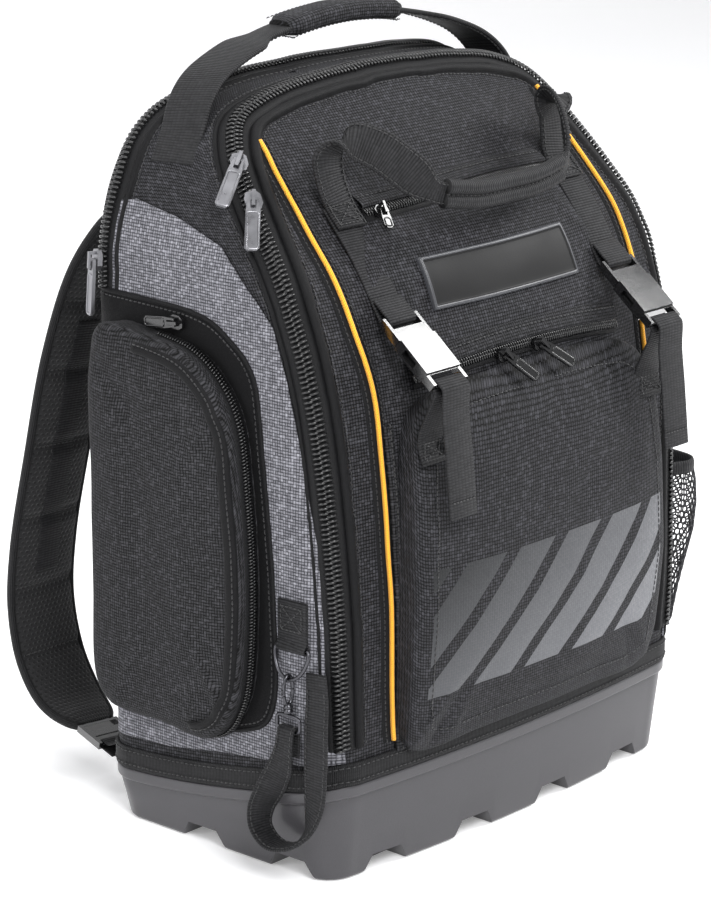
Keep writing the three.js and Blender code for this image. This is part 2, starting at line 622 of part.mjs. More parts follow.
function makeFrontPocket(weltRoom, zipRoom) {
  const outer = frontPocketForm(0);
  const inner = frontPocketForm(FRONT_POCKET.wall, POCKET_ROUND.slice(1));
  const keep = joined(bagKeep, bindingRoom);
  add("front_pocket", cut(outer, inner, keep, weltRoom, zipRoom), "cloth");
  return outer;
}

// Side pocket
function sidePocketForm(inset) {
  const size = SIDE_POCKET;
  const middle = [(size.front + size.back) / 2, (size.low + size.high) / 2];
  const shrink = [1 - (2 * inset) / (size.back - size.front), 1 - (2 * inset) / (size.high - size.low)];
  const outline = SIDE_OUTLINE.map((row) => [
    size.front + row.back * (size.back - size.front), size.low + row.up * (size.high - size.low)]);
  const ring = (out, scale) => outline.map(([y, z]) => vec(-out,
    middle[0] + (y - middle[0]) * scale * shrink[0], middle[1] + (z - middle[1]) * scale * shrink[1]));
  const rounds = POCKET_ROUND.map((row) => ring(BAG.halfWidth + row.out * (size.depth - inset), row.size));
  return loft([ring(BAG.halfWidth - 16, 0.985), ...rounds]);
}

function makeSidePocket(zipRoom) {
  add("side_pocket", cut(sidePocketForm(0), sidePocketForm(SIDE_POCKET.wall), bagKeep, zipRoom), "cloth");
}

// Net bottle pocket on the right: a wall with a grid of holes
function makeNet() {
  const spots = smoothRoute(NET_PLAN.map((row) => vec(BAG.halfWidth + row.out, row.y, 0)), NET.columns);
  const wallAt = (column, row) => {
    const up = row / NET.rows;
    const plan = spots[column];
    const level = NET.low + up * (NET.high - NET.low);
    const far = vec(plan.x, plan.y, level);
    const near = bagSkin.closest(far).point;
    return near.lerp(far, valueAt(NET_RISE, "up", up, "out"));
  };
  const grid = [];
  for (let r = 0; r <= NET.rows; r += 1) {
    grid.push(Array.from({ length: NET.columns + 1 }, (_, c) => wallAt(c, r)));
  }
  const normalAt = (r, c) => {
    const left = grid[r][Math.max(c - 1, 0)];
    const right = grid[r][Math.min(c + 1, NET.columns)];
    const low = grid[Math.max(r - 1, 0)][c];
    const high = grid[Math.min(r + 1, NET.rows)][c];
    return right.clone().sub(left).cross(high.clone().sub(low)).normalize();
  };
  const raised = (point, r, c) => point.clone().addScaledVector(normalAt(r, c), NET.wall);
  const outside = grid.map((row, r) => row.map((point, c) => raised(point, r, c)));
  return cut(netSolid(grid, outside), bagKeep);
}

function netSolid(inside, outside) {
  const points = [];
  const index = [];
  const idOf = (point) => points.push(point) - 1;
  const inner = inside.map((row) => row.map(idOf));
  const outer = outside.map((row) => row.map(idOf));
  const quad = (a, b, c, d) => index.push(a, b, c, a, c, d);
  const rows = inside.length - 1;
  const columns = inside[0].length - 1;
  for (let r = 0; r < rows; r += 1) {
    for (let c = 0; c < columns; c += 1) {
      const corners = [[r, c], [r, c + 1], [r + 1, c + 1], [r + 1, c]];
      const solid = r === 0 || r === rows - 1 || c === 0 || c === columns - 1;
      const near = corners.map(([i, j]) => inner[i][j]);
      const far = corners.map(([i, j]) => outer[i][j]);
      if (solid) {
        quad(...far);
        quad(...near.slice().reverse());
        continue;
      }
      const hole = (ids) => {
        const middle = ids.reduce((sum, id) => sum.addScaledVector(points[id], 0.25), vec(0, 0, 0));
        return ids.map((id) => idOf(points[id].clone().lerp(middle, NET.bar)));
      };
      const nearHole = hole(near);
      const farHole = hole(far);
      for (let k = 0; k < 4; k += 1) {
        const n = (k + 1) % 4;
        quad(far[k], far[n], farHole[n], farHole[k]);
        quad(near[n], near[k], nearHole[k], nearHole[n]);
        quad(farHole[k], farHole[n], nearHole[n], nearHole[k]);
      }
    }
  }
  const rim = [];
  for (let c = 0; c < columns; c += 1) rim.push([0, c]);
  for (let r = 0; r < rows; r += 1) rim.push([r, columns]);
  for (let c = columns; c > 0; c -= 1) rim.push([rows, c]);
  for (let r = rows; r > 0; r -= 1) rim.push([r, 0]);
  rim.forEach(([r, c], k) => {
    const [r2, c2] = rim[(k + 1) % rim.length];
    quad(inner[r][c], inner[r2][c2], outer[r2][c2], outer[r][c]);
  });
  const geometry = new THREE.BufferGeometry();
  geometry.setAttribute("position", new THREE.Float32BufferAttribute(points.flatMap((p) => p.toArray()), 3));
  geometry.setIndex(index);
  return solidOf(geometry);
}

// A bare plate with a raised rim, sewn to the front
function makePatch() {
  const low = POCKET_ZIP[2].up * FRONT_POCKET.high;
  const high = UPPER_ZIP[2].up * BAG.height;
  const middle = low + PATCH.between * (high - low);
  const rectangle = (trim) => [[-1, -1], [1, -1], [1, 1], [-1, 1]].map(([a, b]) => [
    a * (PATCH.wide / 2 - trim), middle + b * (PATCH.high / 2 - trim)]);
  const floor = (y) => rimAt(y);
  const block = alongY(rectangle(0), -BAG.front - PAST, 0);
  const field = alongY(rectangle(PATCH.rim), -BAG.front - PAST, 0);
  const layer = cut(bagForm(GAP + PATCH.thick, floor), bagForm(GAP, () => 0)).intersect(block);
  const sunk = cut(bagForm(GAP + PATCH.thick + 2, floor), bagForm(GAP + PATCH.thick - PATCH.sunk, () => 0));
  add("patch", cut(layer, sunk.intersect(field)), "rubber");
}

function makeBackPanel() {
  const { halfWidth: w, low, high, thick, radius } = BACK_PAD;
  const outline = (trim) => {
    const points = [];
    for (const [cx, cz, from] of [[w - radius, low + radius, -90], [w - radius, high - radius, 0],
      [radius - w, high - radius, 90], [radius - w, low + radius, 180]]) {
      for (let i = 0; i <= 3; i += 1) {
        const angle = THREE.MathUtils.degToRad(from + i * 30);
        points.push([cx + (radius - trim) * Math.cos(angle), cz + (radius - trim) * Math.sin(angle)]);
      }
    }
    return points;
  };
  const ring = (y, trim) => outline(trim).map(([x, z]) => vec(x, y, z));
  const face = BAG.back + thick;
  const pad = loft([ring(BAG.back - 20, 0), ring(face - 4, 0), ring(face - 1, 2), ring(face, 6)]);
  add("back_panel", cut(pad, bagKeep), "mesh");
}

// Straps and handles
function band(rows, steps, section, shareAt = () => 1, [from, to] = [0, 1]) {
  const curve = (points) => new THREE.CatmullRomCurve3(points, false, "centripetal");
  const places = curve(rows.map((row) => vec(row.x, row.y, row.z)));
  const widths = curve(rows.map((row) => vec(row.ax, row.ay, row.az)));
  const shares = rows.map((row) => row.share ?? 1);
  const rings = [];
  for (let i = 0; i <= steps; i += 1) {
    const t = from + ((to - from) * i) / steps;
    const point = places.getPoint(t);
    const along = places.getTangent(t);
    const across = widths.getPoint(t);
    across.addScaledVector(along, -across.dot(along)).normalize();
    const out = across.clone().cross(along).normalize();
    const at = t * (rows.length - 1);
    const low = Math.min(Math.floor(at), rows.length - 2);
    const share = (shares[low] + (at - low) * (shares[low + 1] - shares[low])) * shareAt(point);
    const place = ([a, o]) => point.clone().addScaledVector(across, a * share).addScaledVector(out, o);
    rings.push(section.map(place));
  }
  return loft(rings);
}

function flat(wide, thick) {
  return flatSection(wide, thick, -thick / 2);
}

function rounded(wide, thick, edge) {
  return [[-wide / 2, 0], [-wide / 2 + edge, -thick / 2], [wide / 2 - edge, -thick / 2], [wide / 2, 0],
    [wide / 2 - edge, thick / 2], [-wide / 2 + edge, thick / 2]];
}

// A symmetrical route from its left half, whose last row is the middle
function wholeRoute(rows) {
  const right = rows.slice(0, -1).reverse().map((row) => ({ ...row, x: -row.x, ax: -row.ax }));
  return [...rows, ...right];
}

function makeTopHandle() {
  const rows = wholeRoute(TOP_ROUTE.map((row) => ({ ...row, z: row.up * BAG.height })));
  const narrow = (point) => {
    const inGrip = THREE.MathUtils.smoothstep(TOP_HANDLE.taperFrom - Math.abs(point.x), 0, TOP_HANDLE.taper);
    return 1 - inGrip * (1 - (TOP_HANDLE.grip - TOP_HANDLE.seam) / TOP_HANDLE.wide);
  };
  const web = (grow) => band(rows, 22, flat(TOP_HANDLE.wide + grow, TOP_HANDLE.thick + grow), narrow);
  add("top_handle", cut(web(0), bagKeep), "webbing");
  const section = rounded(TOP_HANDLE.grip, TOP_HANDLE.gripThick, TOP_HANDLE.gripEdge);
  const grip = band(rows, 10, section, undefined, TOP_HANDLE.gripSpan);
  add("top_grip", cut(grip, web(2 * GAP)), "cloth");
}

function makeFrontHandle() {
  const above = 3 * GAP + STRAP.thick + FRONT_HANDLE.thick / 2 + 0.3;
  const foot = FRONT_HANDLE.foot.map((up) => {
    const { point, normal } = bagSkin.hit(vec(FRONT_HANDLE.footX, -AWAY, up * BAG.height), vec(0, 1, 0));
    const { x, y, z: level } = point.addScaledVector(normal, above);
    return { x, y, z: level, ax: 1, ay: 0, az: 0 };
  });
  const arch = FRONT_ROUTE.map((row) => ({ ...row, y: -row.fore * BAG.front, z: row.up * BAG.height }));
  const rows = wholeRoute([...foot, ...arch]);
  const narrow = (point) => {
    const inside = FRONT_HANDLE.taperFrom - Math.abs(point.x);
    const inGrip = THREE.MathUtils.smoothstep(inside, 0, FRONT_HANDLE.taper);
    return 1 - inGrip * (1 - (FRONT_HANDLE.grip - FRONT_HANDLE.seam) / FRONT_HANDLE.wide);
  };
  const web = (grow) => band(rows, 32, flat(FRONT_HANDLE.wide + grow, FRONT_HANDLE.thick + grow), narrow);
  add("front_handle", cut(web(0), bagKeep), "webbing");
  const section = rounded(FRONT_HANDLE.grip, FRONT_HANDLE.gripThick, FRONT_HANDLE.gripEdge);
  const grip = band(rows, 8, section, undefined, FRONT_HANDLE.gripSpan);
  add("front_grip", cut(grip, web(2 * GAP)), "webbing");
}

// A local frame on the right buckle: X across, Y up along the strap, Z out
function buckleFrame() {
  const tilt = THREE.MathUtils.degToRad(BUCKLE.tilt);
  const along = vec(0, Math.cos(tilt), Math.sin(tilt));
  const out = vec(0, -Math.sin(tilt), Math.cos(tilt));
  return new THREE.Matrix4().makeBasis(vec(1, 0, 0), along, out)
    .setPosition(BUCKLE.x, -BUCKLE.fore * BAG.front, BUCKLE.up * BAG.height);
}

// Webbing that comes along the under side, wraps a bar and doubles back on the outer side
function foldAround(frame, barAt, direction, radius, tail, run = 3) {
  const spots = [[direction * tail, radius], [direction * 3, radius]];
  for (let i = 0; i <= 4; i += 1) {
    const angle = (Math.PI * i) / 4;
    spots.push([-direction * radius * Math.sin(angle), radius * Math.cos(angle)]);
  }
  spots.push([direction * run, -radius]);
  return spots.map(([s, o]) => vec(0, barAt + s, o).applyMatrix4(frame));
}

function strapRows(points, across = vec(1, 0, 0)) {
  const { x: ax, y: ay, z: az } = across;
  return points.map(({ x, y, z }) => ({ x, y, z, ax, ay, az }));
}

function makeFrontStraps(frontPocketSkin) {
  const size = BUCKLE;
  const frame = buckleFrame();
  const half = size.wide / 2;
  const opening = half - size.slotWall;
  const plugTop = size.mouth + 0.4 + size.plug;
  const plugBar = plugTop - size.bar / 2;
  const socketEnd = size.mouth - size.socket - size.bar - size.slot;
  const socketBar = socketEnd + size.bar / 2;
  const frameHalf = size.frame / 2;
  const plugSlotTop = plugBar - size.bar / 2;
  const plugSlot = box(-opening, opening, plugSlotTop - size.slot, plugSlotTop, -PAST, PAST);
  const prong = (x0, x1, low) => box(x0, x1, low, size.mouth + 2, -2, 2);
  const thin = (middle) => joined(
    box(-opening, opening, middle - size.bar / 2 - 0.1, middle + size.bar / 2 + 1, size.bar / 2, PAST),
    box(-opening, opening, middle - size.bar / 2 - 1, middle + size.bar / 2 + 0.1, -PAST, -size.bar / 2));
  const plug = cut(joined(
    box(-half, half, size.mouth + 0.4, plugTop, -frameHalf, frameHalf),
    prong(7.5, 12, -7), prong(-12, -7.5, -7), prong(-2.6, 2.6, -1)), plugSlot, thin(plugBar));
  const body = size.thick / 2;
  const slotLow = socketBar + size.bar / 2;
  const socketSlot = box(-opening, opening, slotLow, slotLow + size.slot - 1, -PAST, PAST);
  const room = half - size.wall;
  const socket = cut(joined(
    box(-half, half, size.mouth - size.socket, size.mouth, -body, body),
    box(-half, half, socketEnd, size.mouth - size.socket + 1, -frameHalf, frameHalf)),
    box(-room, room, size.mouth - size.socket + size.wall, size.mouth + 1, -2.6, 2.6),
    box(-half - 1, half + 1, -9, 3, -2.6, 2.6), socketSlot, thin(socketBar));
  const radius = size.bar / 2 + GAP + STRAP.thick / 2 + 0.6;

  const upperFold = foldAround(frame, plugBar, 1, radius, UPPER_STRAP.fold);
  const seats = UPPER_STRAP.seats.map((up) => {
    const spot = bagSkin.hit(vec(size.x, -AWAY, up * BAG.height), vec(0, 1, 0));
    return spot.point.addScaledVector(spot.normal, GAP + STRAP.thick / 2 + 0.1);
  });
  const upper = band(strapRows([...upperFold, ...seats]), 20, flat(STRAP.wide, STRAP.thick));

  const lean = THREE.MathUtils.degToRad(LOWER_STRAP.lean);
  const bar = vec(0, socketBar, radius).applyMatrix4(frame);
  const tailPoint = (share) => vec(size.x, bar.y - Math.sin(lean) * LOWER_STRAP.tail * share ** 0.8 - 1.5,
    bar.z - Math.cos(lean) * LOWER_STRAP.tail * share);
  const tail = [1, 0.75, 0.5, 0.25].map(tailPoint);
  const fold = foldAround(frame, socketBar, -1, radius, 6);
  const sewn = [LOWER_STRAP.sewnHigh, LOWER_STRAP.sewnLow].map((z) => {
    const spot = frontPocketSkin.hit(vec(size.x, -AWAY, z), vec(0, 1, 0));
    return spot.point.addScaledVector(spot.normal, GAP + STRAP.thick / 2);
  });
  const lower = band(strapRows([...tail, ...fold, ...sewn]), 22, flat(STRAP.wide, STRAP.thick));
  const pocketRoom = frontPocketForm(-GAP);
  const pieces = {
    upper_strap: [cut(upper, bagKeep), "webbing"],
    buckle_plug: [placed(plug, frame), "plastic"],
    buckle_socket: [placed(socket, frame), "plastic"],
    lower_strap: [cut(lower, pocketRoom), "webbing"],
  };
  for (const [name, [solid, look]] of Object.entries(pieces)) {
    add(`${name}_right`, solid, look);
    add(`${name}_left`, mirrored(solid), look);
  }
}

// Carrying harness, built on the left and mirrored
function makeHarness() {
  const face = BAG.back + BACK_PAD.thick;
  const rows = SHOULDER_ROUTE.map(({ x, off, z, share }) => (
    { x, y: face + off, z, ax: 1, ay: 0, az: 0, share }));
  const strap = band(rows, 16, rounded(SHOULDER.wide, SHOULDER.thick, SHOULDER.edge));
  const end = rows[rows.length - 1];
  const before = rows[rows.length - 2];
  const along = vec(end.x - before.x, end.y - before.y, end.z - before.z).normalize();
  const across = vec(1, 0, 0).addScaledVector(along, -along.x).normalize();
  const out = across.clone().cross(along);
  const origin = vec(end.x, end.y, end.z).addScaledVector(along, LOCK.long / 2 + GAP);
  const frame = new THREE.Matrix4().makeBasis(across, along, out).setPosition(origin);
  const half = LOCK.long / 2;
  const inside = LOCK.wide / 2 - LOCK.side;
  const slot = box(-inside, inside, half - LOCK.bar - LOCK.slot, half - LOCK.bar, -PAST, PAST);
  const slot2 = box(-inside, inside, -half + LOCK.bar, -half + LOCK.bar + LOCK.slot, -PAST, PAST);
  const thin = joined(box(-inside, inside, half - LOCK.bar - 0.1, half + 1, LOCK.bar / 2, PAST),
    box(-inside, inside, half - LOCK.bar - 0.1, half + 1, -PAST, -LOCK.bar / 2));
  const plate = box(-LOCK.wide / 2, LOCK.wide / 2, -half, half, -LOCK.thick / 2, LOCK.thick / 2);
  const lock = placed(cut(plate, slot, slot2, thin), frame);
  const radius = LOCK.bar / 2 + GAP + STRAP.thick / 2 + 0.35;
  const fold = foldAround(frame, half - LOCK.bar / 2, 1, radius, 12, 6);
  const lift = BAG.back * SECTIONS[0].back + GAP + STRAP.thick / 2 + 0.2;
  const sewn = [vec(WEB.x, lift + 3, WEB.low - 8), vec(WEB.x, lift, WEB.low + 4), vec(WEB.x, lift, WEB.high)];
  const web = cut(band([...strapRows(fold, across), ...strapRows(sewn)], 20, flat(STRAP.wide, STRAP.thick)),
    bagKeep, bindingRoom);
  const pieces = {
    shoulder_strap: [strap, "mesh"],
    ladder_lock: [lock, "plastic"],
    lower_web: [web, "webbing"],
  };
  for (const [name, [solid, look]] of Object.entries(pieces)) {
    add(`${name}_left`, solid, look);
    add(`${name}_right`, mirrored(solid), look);
  }
  makeSternum(rows);
}

function makeSternum(rows) {
  const high = STERNUM.high;
  const next = rows.findIndex((row) => row.z < high && row.y > rows[0].y + 20);
  const [a, b] = [rows[next - 1], rows[next]];
  const part = (high - a.z) / (b.z - a.z);
  const x = a.x + part * (b.x - a.x) + SHOULDER.wide / 2 + GAP + 2 * STERNUM.thick;
  const y = a.y + part * (b.y - a.y);
  const half = [[x, y, high], [x * 0.75, y - STERNUM.inward * 0.5, high - STERNUM.sag * 0.55],
    [x * 0.4, y - STERNUM.inward * 0.9, high - STERNUM.sag * 0.92],
    [0, y - STERNUM.inward, high - STERNUM.sag]];
  const upright = { ax: 0, ay: -0.1, az: 1 };
  const route = wholeRoute(half.map(([px, py, pz]) => ({ x: px, y: py, z: pz, ...upright })));
  add("sternum_strap", band(route, 12, flat(STERNUM.wide, STERNUM.thick)), "webbing");
}

// A closed round wire through a ring of points
function wireLoop(points, thick, sides) {
  const count = points.length;
  const rings = points.map((point, i) => {
    const along = points[(i + 1) % count].clone().sub(points[(i + count - 1) % count]).normalize();
    const plane = ringNormal(points);
    const out = plane.clone().cross(along);
    return Array.from({ length: sides }, (_, k) => {
      const angle = (2 * Math.PI * (k + 0.5)) / sides;
      return point.clone().addScaledVector(plane, (thick / 2) * Math.cos(angle))
        .addScaledVector(out, (thick / 2) * Math.sin(angle));
    });
  });
  return loft(rings, true);
}

function ringNormal(points) {
  const third = Math.floor(points.length / 3);
  const a = points[third].clone().sub(points[0]);
  return a.cross(points[2 * third].clone().sub(points[0])).normalize();
}

// Lanyard: tab, ring, swivel hook with a sprung gate, and a strap
function makeLanyard(frontZipRoom) {
  const layer = cut(bagForm(GAP + TAB.thick, (y) => rimAt(y)), bagForm(GAP, () => 0));
  const barX = -BAG.halfWidth - GAP - TAB.thick / 2;
  const barZ = TAB.low + RING.wire / 2 + 2;
  const turn = new THREE.Matrix4().makeTranslation(barX, TAB.y, barZ);
  const channel = cylinder(RING.wire / 2 + GAP, TAB.wide + 4, 10, turn);
  add("lanyard_tab", cut(layer.intersect(tabBlock(0)), channel), "webbing");

  const lean = THREE.MathUtils.degToRad(RING.lean);
  const ringPoint = (y, drop) => vec(barX - drop * Math.sin(lean), TAB.y + y, barZ - drop * Math.cos(lean));
  const half = RING.wide / 2;
  const points = [ringPoint(-half * 0.94, 0), ringPoint(0, 0), ringPoint(half * 0.94, 0)];
  for (let i = 0; i <= 10; i += 1) {
    const angle = (Math.PI * (i + 0.5)) / 11;
    points.push(ringPoint(half * Math.cos(angle), RING.high * Math.sin(angle)));
  }
  add("d_ring", wireLoop(points, RING.wire, 5), "darkSteel");

  const low = ringPoint(0, RING.high);
  const hookTop = low.z + RING.wire / 2 + 0.4 + HOOK.wire / 2;
  const hookMiddle = hookTop - HOOK.halfHeight;
  const hookX = low.x;
  const oval = Array.from({ length: 16 }, (_, i) => {
    const angle = (2 * Math.PI * i) / 16;
    const across = HOOK.halfWidth * Math.cos(angle);
    return vec(hookX + across, TAB.y, hookMiddle + HOOK.halfHeight * Math.sin(angle));
  });
  const base = hookMiddle - HOOK.halfHeight;
  const gateLow = base + 2 * HOOK.halfHeight * HOOK.gateLow;
  const gateHigh = base + 2 * HOOK.halfHeight * HOOK.gateHigh;
  const gateX = hookX - HOOK.halfWidth;
  const gap = box(gateX - 4, gateX + 2.2, TAB.y - 4, TAB.y + 4, gateLow, gateHigh);
  const barrelTop = base - 1;
  const barrelLow = barrelTop - HOOK.barrelHigh;
  const upright = new THREE.Matrix4().makeRotationX(Math.PI / 2)
    .setPosition(hookX, TAB.y, (barrelTop + barrelLow) / 2 + 1);
  const barrel = cylinder(HOOK.barrel / 2, HOOK.barrelHigh + 2, 10, upright);
  add("snap_hook", joined(cut(wireLoop(oval, HOOK.wire, 5), gap), barrel), "darkSteel");
  const gate = box(gateX - HOOK.wire / 2, gateX + HOOK.wire / 2, TAB.y - HOOK.wire / 2, TAB.y + HOOK.wire / 2,
    gateLow + GAP, gateHigh - GAP);
  add("hook_gate", gate, "darkSteel");
  hinges.hook_gate = { at: vec(gateX, TAB.y, gateLow + GAP), axis: vec(0, 1, 0) };

  const eyeMiddle = barrelLow - GAP - EYE.wire / 2 - EYE.halfHeight;
  const squared = (value) => Math.sign(value) * Math.abs(value) ** 0.5;
  const eye = Array.from({ length: 16 }, (_, i) => {
    const angle = (2 * Math.PI * (i + 0.5)) / 16;
    return vec(hookX, TAB.y + EYE.halfWidth * squared(Math.cos(angle)),
      eyeMiddle + EYE.halfHeight * squared(Math.sin(angle)));
  });
  add("hook_eye", wireLoop(eye, EYE.wire, 5), "darkSteel");

  const eyeLow = eyeMiddle - EYE.halfHeight;
  const radius = EYE.wire / 2 + GAP + LANYARD.thick / 2 + 0.6;
  const fold = [];
  for (let i = 0; i <= 4; i += 1) {
    const angle = (Math.PI * i) / 4;
    fold.push(vec(hookX + radius * Math.cos(angle), TAB.y, eyeLow + radius * Math.sin(angle)));
  }
  const behind = [vec(hookX + radius, TAB.y, eyeLow - 18), vec(hookX + radius, TAB.y, eyeLow - 4)];
  const narrowed = { ax: 0, ay: 1, az: 0, share: 0.72 };
  const start = [...behind, ...fold].map(({ x, y, z }) => ({ x, y, z, ...narrowed }));
  const hanging = LANYARD_ROUTE.map((row) => ({ ...row, x: -BAG.halfWidth - row.out }));
  const strap = band([...start, ...hanging], 38, flat(LANYARD.wide, LANYARD.thick));
  add("lanyard_strap", cut(strap, bagKeep, frontZipRoom, panelRoom, bindingRoom), "webbing");
}

// One slider and its hanging tab
function makeSlider(spec, zip) {
  const puller = PULLERS[spec.kind];
  const target = vec(spec.out * BAG.halfWidth, -spec.fore * BAG.front, spec.up * BAG.height);
  const spot = bagSkin.closest(target);
  const ahead = zip.map((row) => vec(Math.sign(spec.out || 1) * Math.abs(row.out) * BAG.halfWidth,
    -row.fore * BAG.front, row.up * BAG.height));
  ahead.sort((a, b) => a.distanceTo(target) - b.distanceTo(target));
  const { rise, lift } = spec.kind === "large" ? ZIP : SMALL_ZIP;
  const scale = puller.scale;
  const seat = spot.point.clone().addScaledVector(spot.normal, lift + rise + 2 * GAP);
  const frameOf = (direction) => {
    const along = direction.clone().addScaledVector(spot.normal, -direction.dot(spot.normal)).normalize();
    const across = along.clone().cross(spot.normal);
    return new THREE.Matrix4().makeBasis(across, along, spot.normal).setPosition(seat);
  };
  const run = frameOf(ahead[1].clone().sub(ahead[0]));
  const hang = frameOf(vec(-spec.dx, -spec.dy, -spec.dz));
  const w = (SLIDER.wide / 2) * scale;
  const l = (SLIDER.long / 2) * scale;
  const bodyHigh = SLIDER.body * scale;
  const lozenge = [[-w, -l * 0.45], [-w * 0.55, -l], [w * 0.55, -l], [w, -l * 0.45],
    [w, l * 0.45], [w * 0.55, l], [-w * 0.55, l], [-w, l * 0.45]];
  const post = SLIDER.post * scale;
  const ridge = (SLIDER.ridge / 2) * scale;
  const clear = puller.thick + 1.4;
  const top = bodyHigh + clear + SLIDER.bar;
  const reach = l * 0.8;
  const crown = cut(box(-ridge, ridge, -reach, reach, bodyHigh - 1, top),
    box(-9, 9, -reach + post, reach - post, bodyHigh, bodyHigh + clear));
  const look = spec.kind === "large" ? "steel" : "darkSteel";
  const runner = prism(lozenge, bodyHigh, new THREE.Matrix4());
  add(`slider_${spec.name}`, joined(placed(runner, run), placed(crown, hang)), look);

  const turned = new THREE.Matrix4().makeTranslation(0, 0, bodyHigh + clear / 2)
    .multiply(new THREE.Matrix4().makeRotationX(-THREE.MathUtils.degToRad(spec.rest)))
    .multiply(new THREE.Matrix4().makeTranslation(0, 0, -bodyHigh - clear / 2));
  const half = puller.wide / 2;
  const outline = [[-half, -puller.long + 2], [-half + 2, -puller.long], [half - 2, -puller.long],
    [half, -puller.long + 2], [half, -puller.window], [half * 0.72, 0.9],
    [-half * 0.72, 0.9], [-half, -puller.window]];
  const level = bodyHigh + clear / 2 - puller.thick / 2;
  const plate = prism(outline, puller.thick, new THREE.Matrix4().makeTranslation(0, 0, level));
  const window = box(-ridge - 0.7, ridge + 0.7, -reach - 1.2, -0.8, level - 1, level + puller.thick + 1);
  add(`puller_${spec.name}`, placed(cut(plate, window), hang.clone().multiply(turned)), look);
  hinges[`puller_${spec.name}`] = {
    at: vec(0, 0, bodyHigh + clear / 2).applyMatrix4(hang),
    axis: vec(1, 0, 0).transformDirection(hang),
  };
}

// Hinge centres and axes, by the name of the piece that turns
export const hinges = {};

makeBody();
makeTub();
makeBinding();
const bindingRoom = bandForm(2 * GAP + BINDING.thick, -1, BINDING.height + GAP);
const panelRoom = bagForm(2 * GAP + PANEL.thick, (y) => rimAt(y) + BINDING.height);
const frontZipRoom = zipOnBag("front_zip", archPoints(FRONT_ZIP), 34, ZIP);
const rearZipRoom = zipOnBag("rear_zip", archPoints(REAR_ZIP), 20, ZIP);
const pocketSpot = (row, high) => frontSpot(row.out * FRONT_POCKET.halfWidth, row.up * high);
const pocketZipPoints = POCKET_ZIP.map((row) => pocketSpot(row, FRONT_POCKET.high));
const pocketZipRoom = zipOnBag("front_pocket_zip", pocketZipPoints, 10, SMALL_ZIP);
const sideZipPoints = SIDE_ZIP.map((row) => sideSpot(-row.fore * BAG.front, row.up * BAG.height, -1));
const sideZipRoom = zipOnBag("side_pocket_zip", sideZipPoints, 18, SMALL_ZIP);
makeSidePanels(frontZipRoom, rearZipRoom, sideZipRoom);
const upperZipPoints = UPPER_ZIP.map((row) => frontSpot(row.out * BAG.halfWidth, row.up * BAG.height));
zipOnBag("upper_pocket_zip", upperZipPoints, 8, SMALL_ZIP);
makePiping();
const weltPoints = WELT_ROUTE.map((row) => pocketSpot(row, BAG.height));
const weltSection = flatSection(WELT.wide, WELT.thick, 0);
add("pocket_welt", cut(seated(weltPoints, 8, weltSection, WELT.lift), bindingRoom), "cloth");
const weltWide = flatSection(WELT.wide + 2 * GAP, WELT.thick + GAP + ROOT, -ROOT);
const weltRoom = roomFor(weltPoints, 8, weltWide, WELT.lift);
const pocketOuter = makeFrontPocket(weltRoom, pocketZipRoom);
makeSidePocket(sideZipRoom);
add("mesh_pocket", cut(makeNet(), panelRoom, frontZipRoom), "mesh");
makePatch();
makeBackPanel();
makeTopHandle();
makeFrontHandle();
makeFrontStraps(skinOf(pocketOuter));
makeHarness();
makeLanyard(frontZipRoom);
const routes = { rear: REAR_ZIP, front_upper: FRONT_ZIP, front_lower: FRONT_ZIP };
for (const spec of SLIDERS) makeSlider(spec, routes[spec.name] ?? sideRun(spec));

function sideRun(spec) {
  const sideways = spec.name === "side_pocket" ? { out: 0, fore: -0.2 } : { out: 0.2, fore: 0 };
  const step = { ...sideways, up: 0.003 };
  return [{ out: spec.out, fore: spec.fore, up: spec.up },
    { out: spec.out + step.out, fore: spec.fore + step.fore, up: spec.up + step.up }];
}

// The origin is the middle of the footprint
const middle = new THREE.Box3().setFromObject(group).getCenter(vec(0, 0, 0)).setZ(0);
for (const mesh of group.children) mesh.geometry.translate(-middle.x, -middle.y, 0);
for (const hinge of Object.values(hinges)) hinge.at.sub(middle);

export default group;
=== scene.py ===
import json
import math
import bpy
import bmesh
import numpy as np
from mathutils import Matrix, Vector, noise
from mathutils.bvhtree import BVHTree
from mathutils.geometry import delaunay_2d_cdt


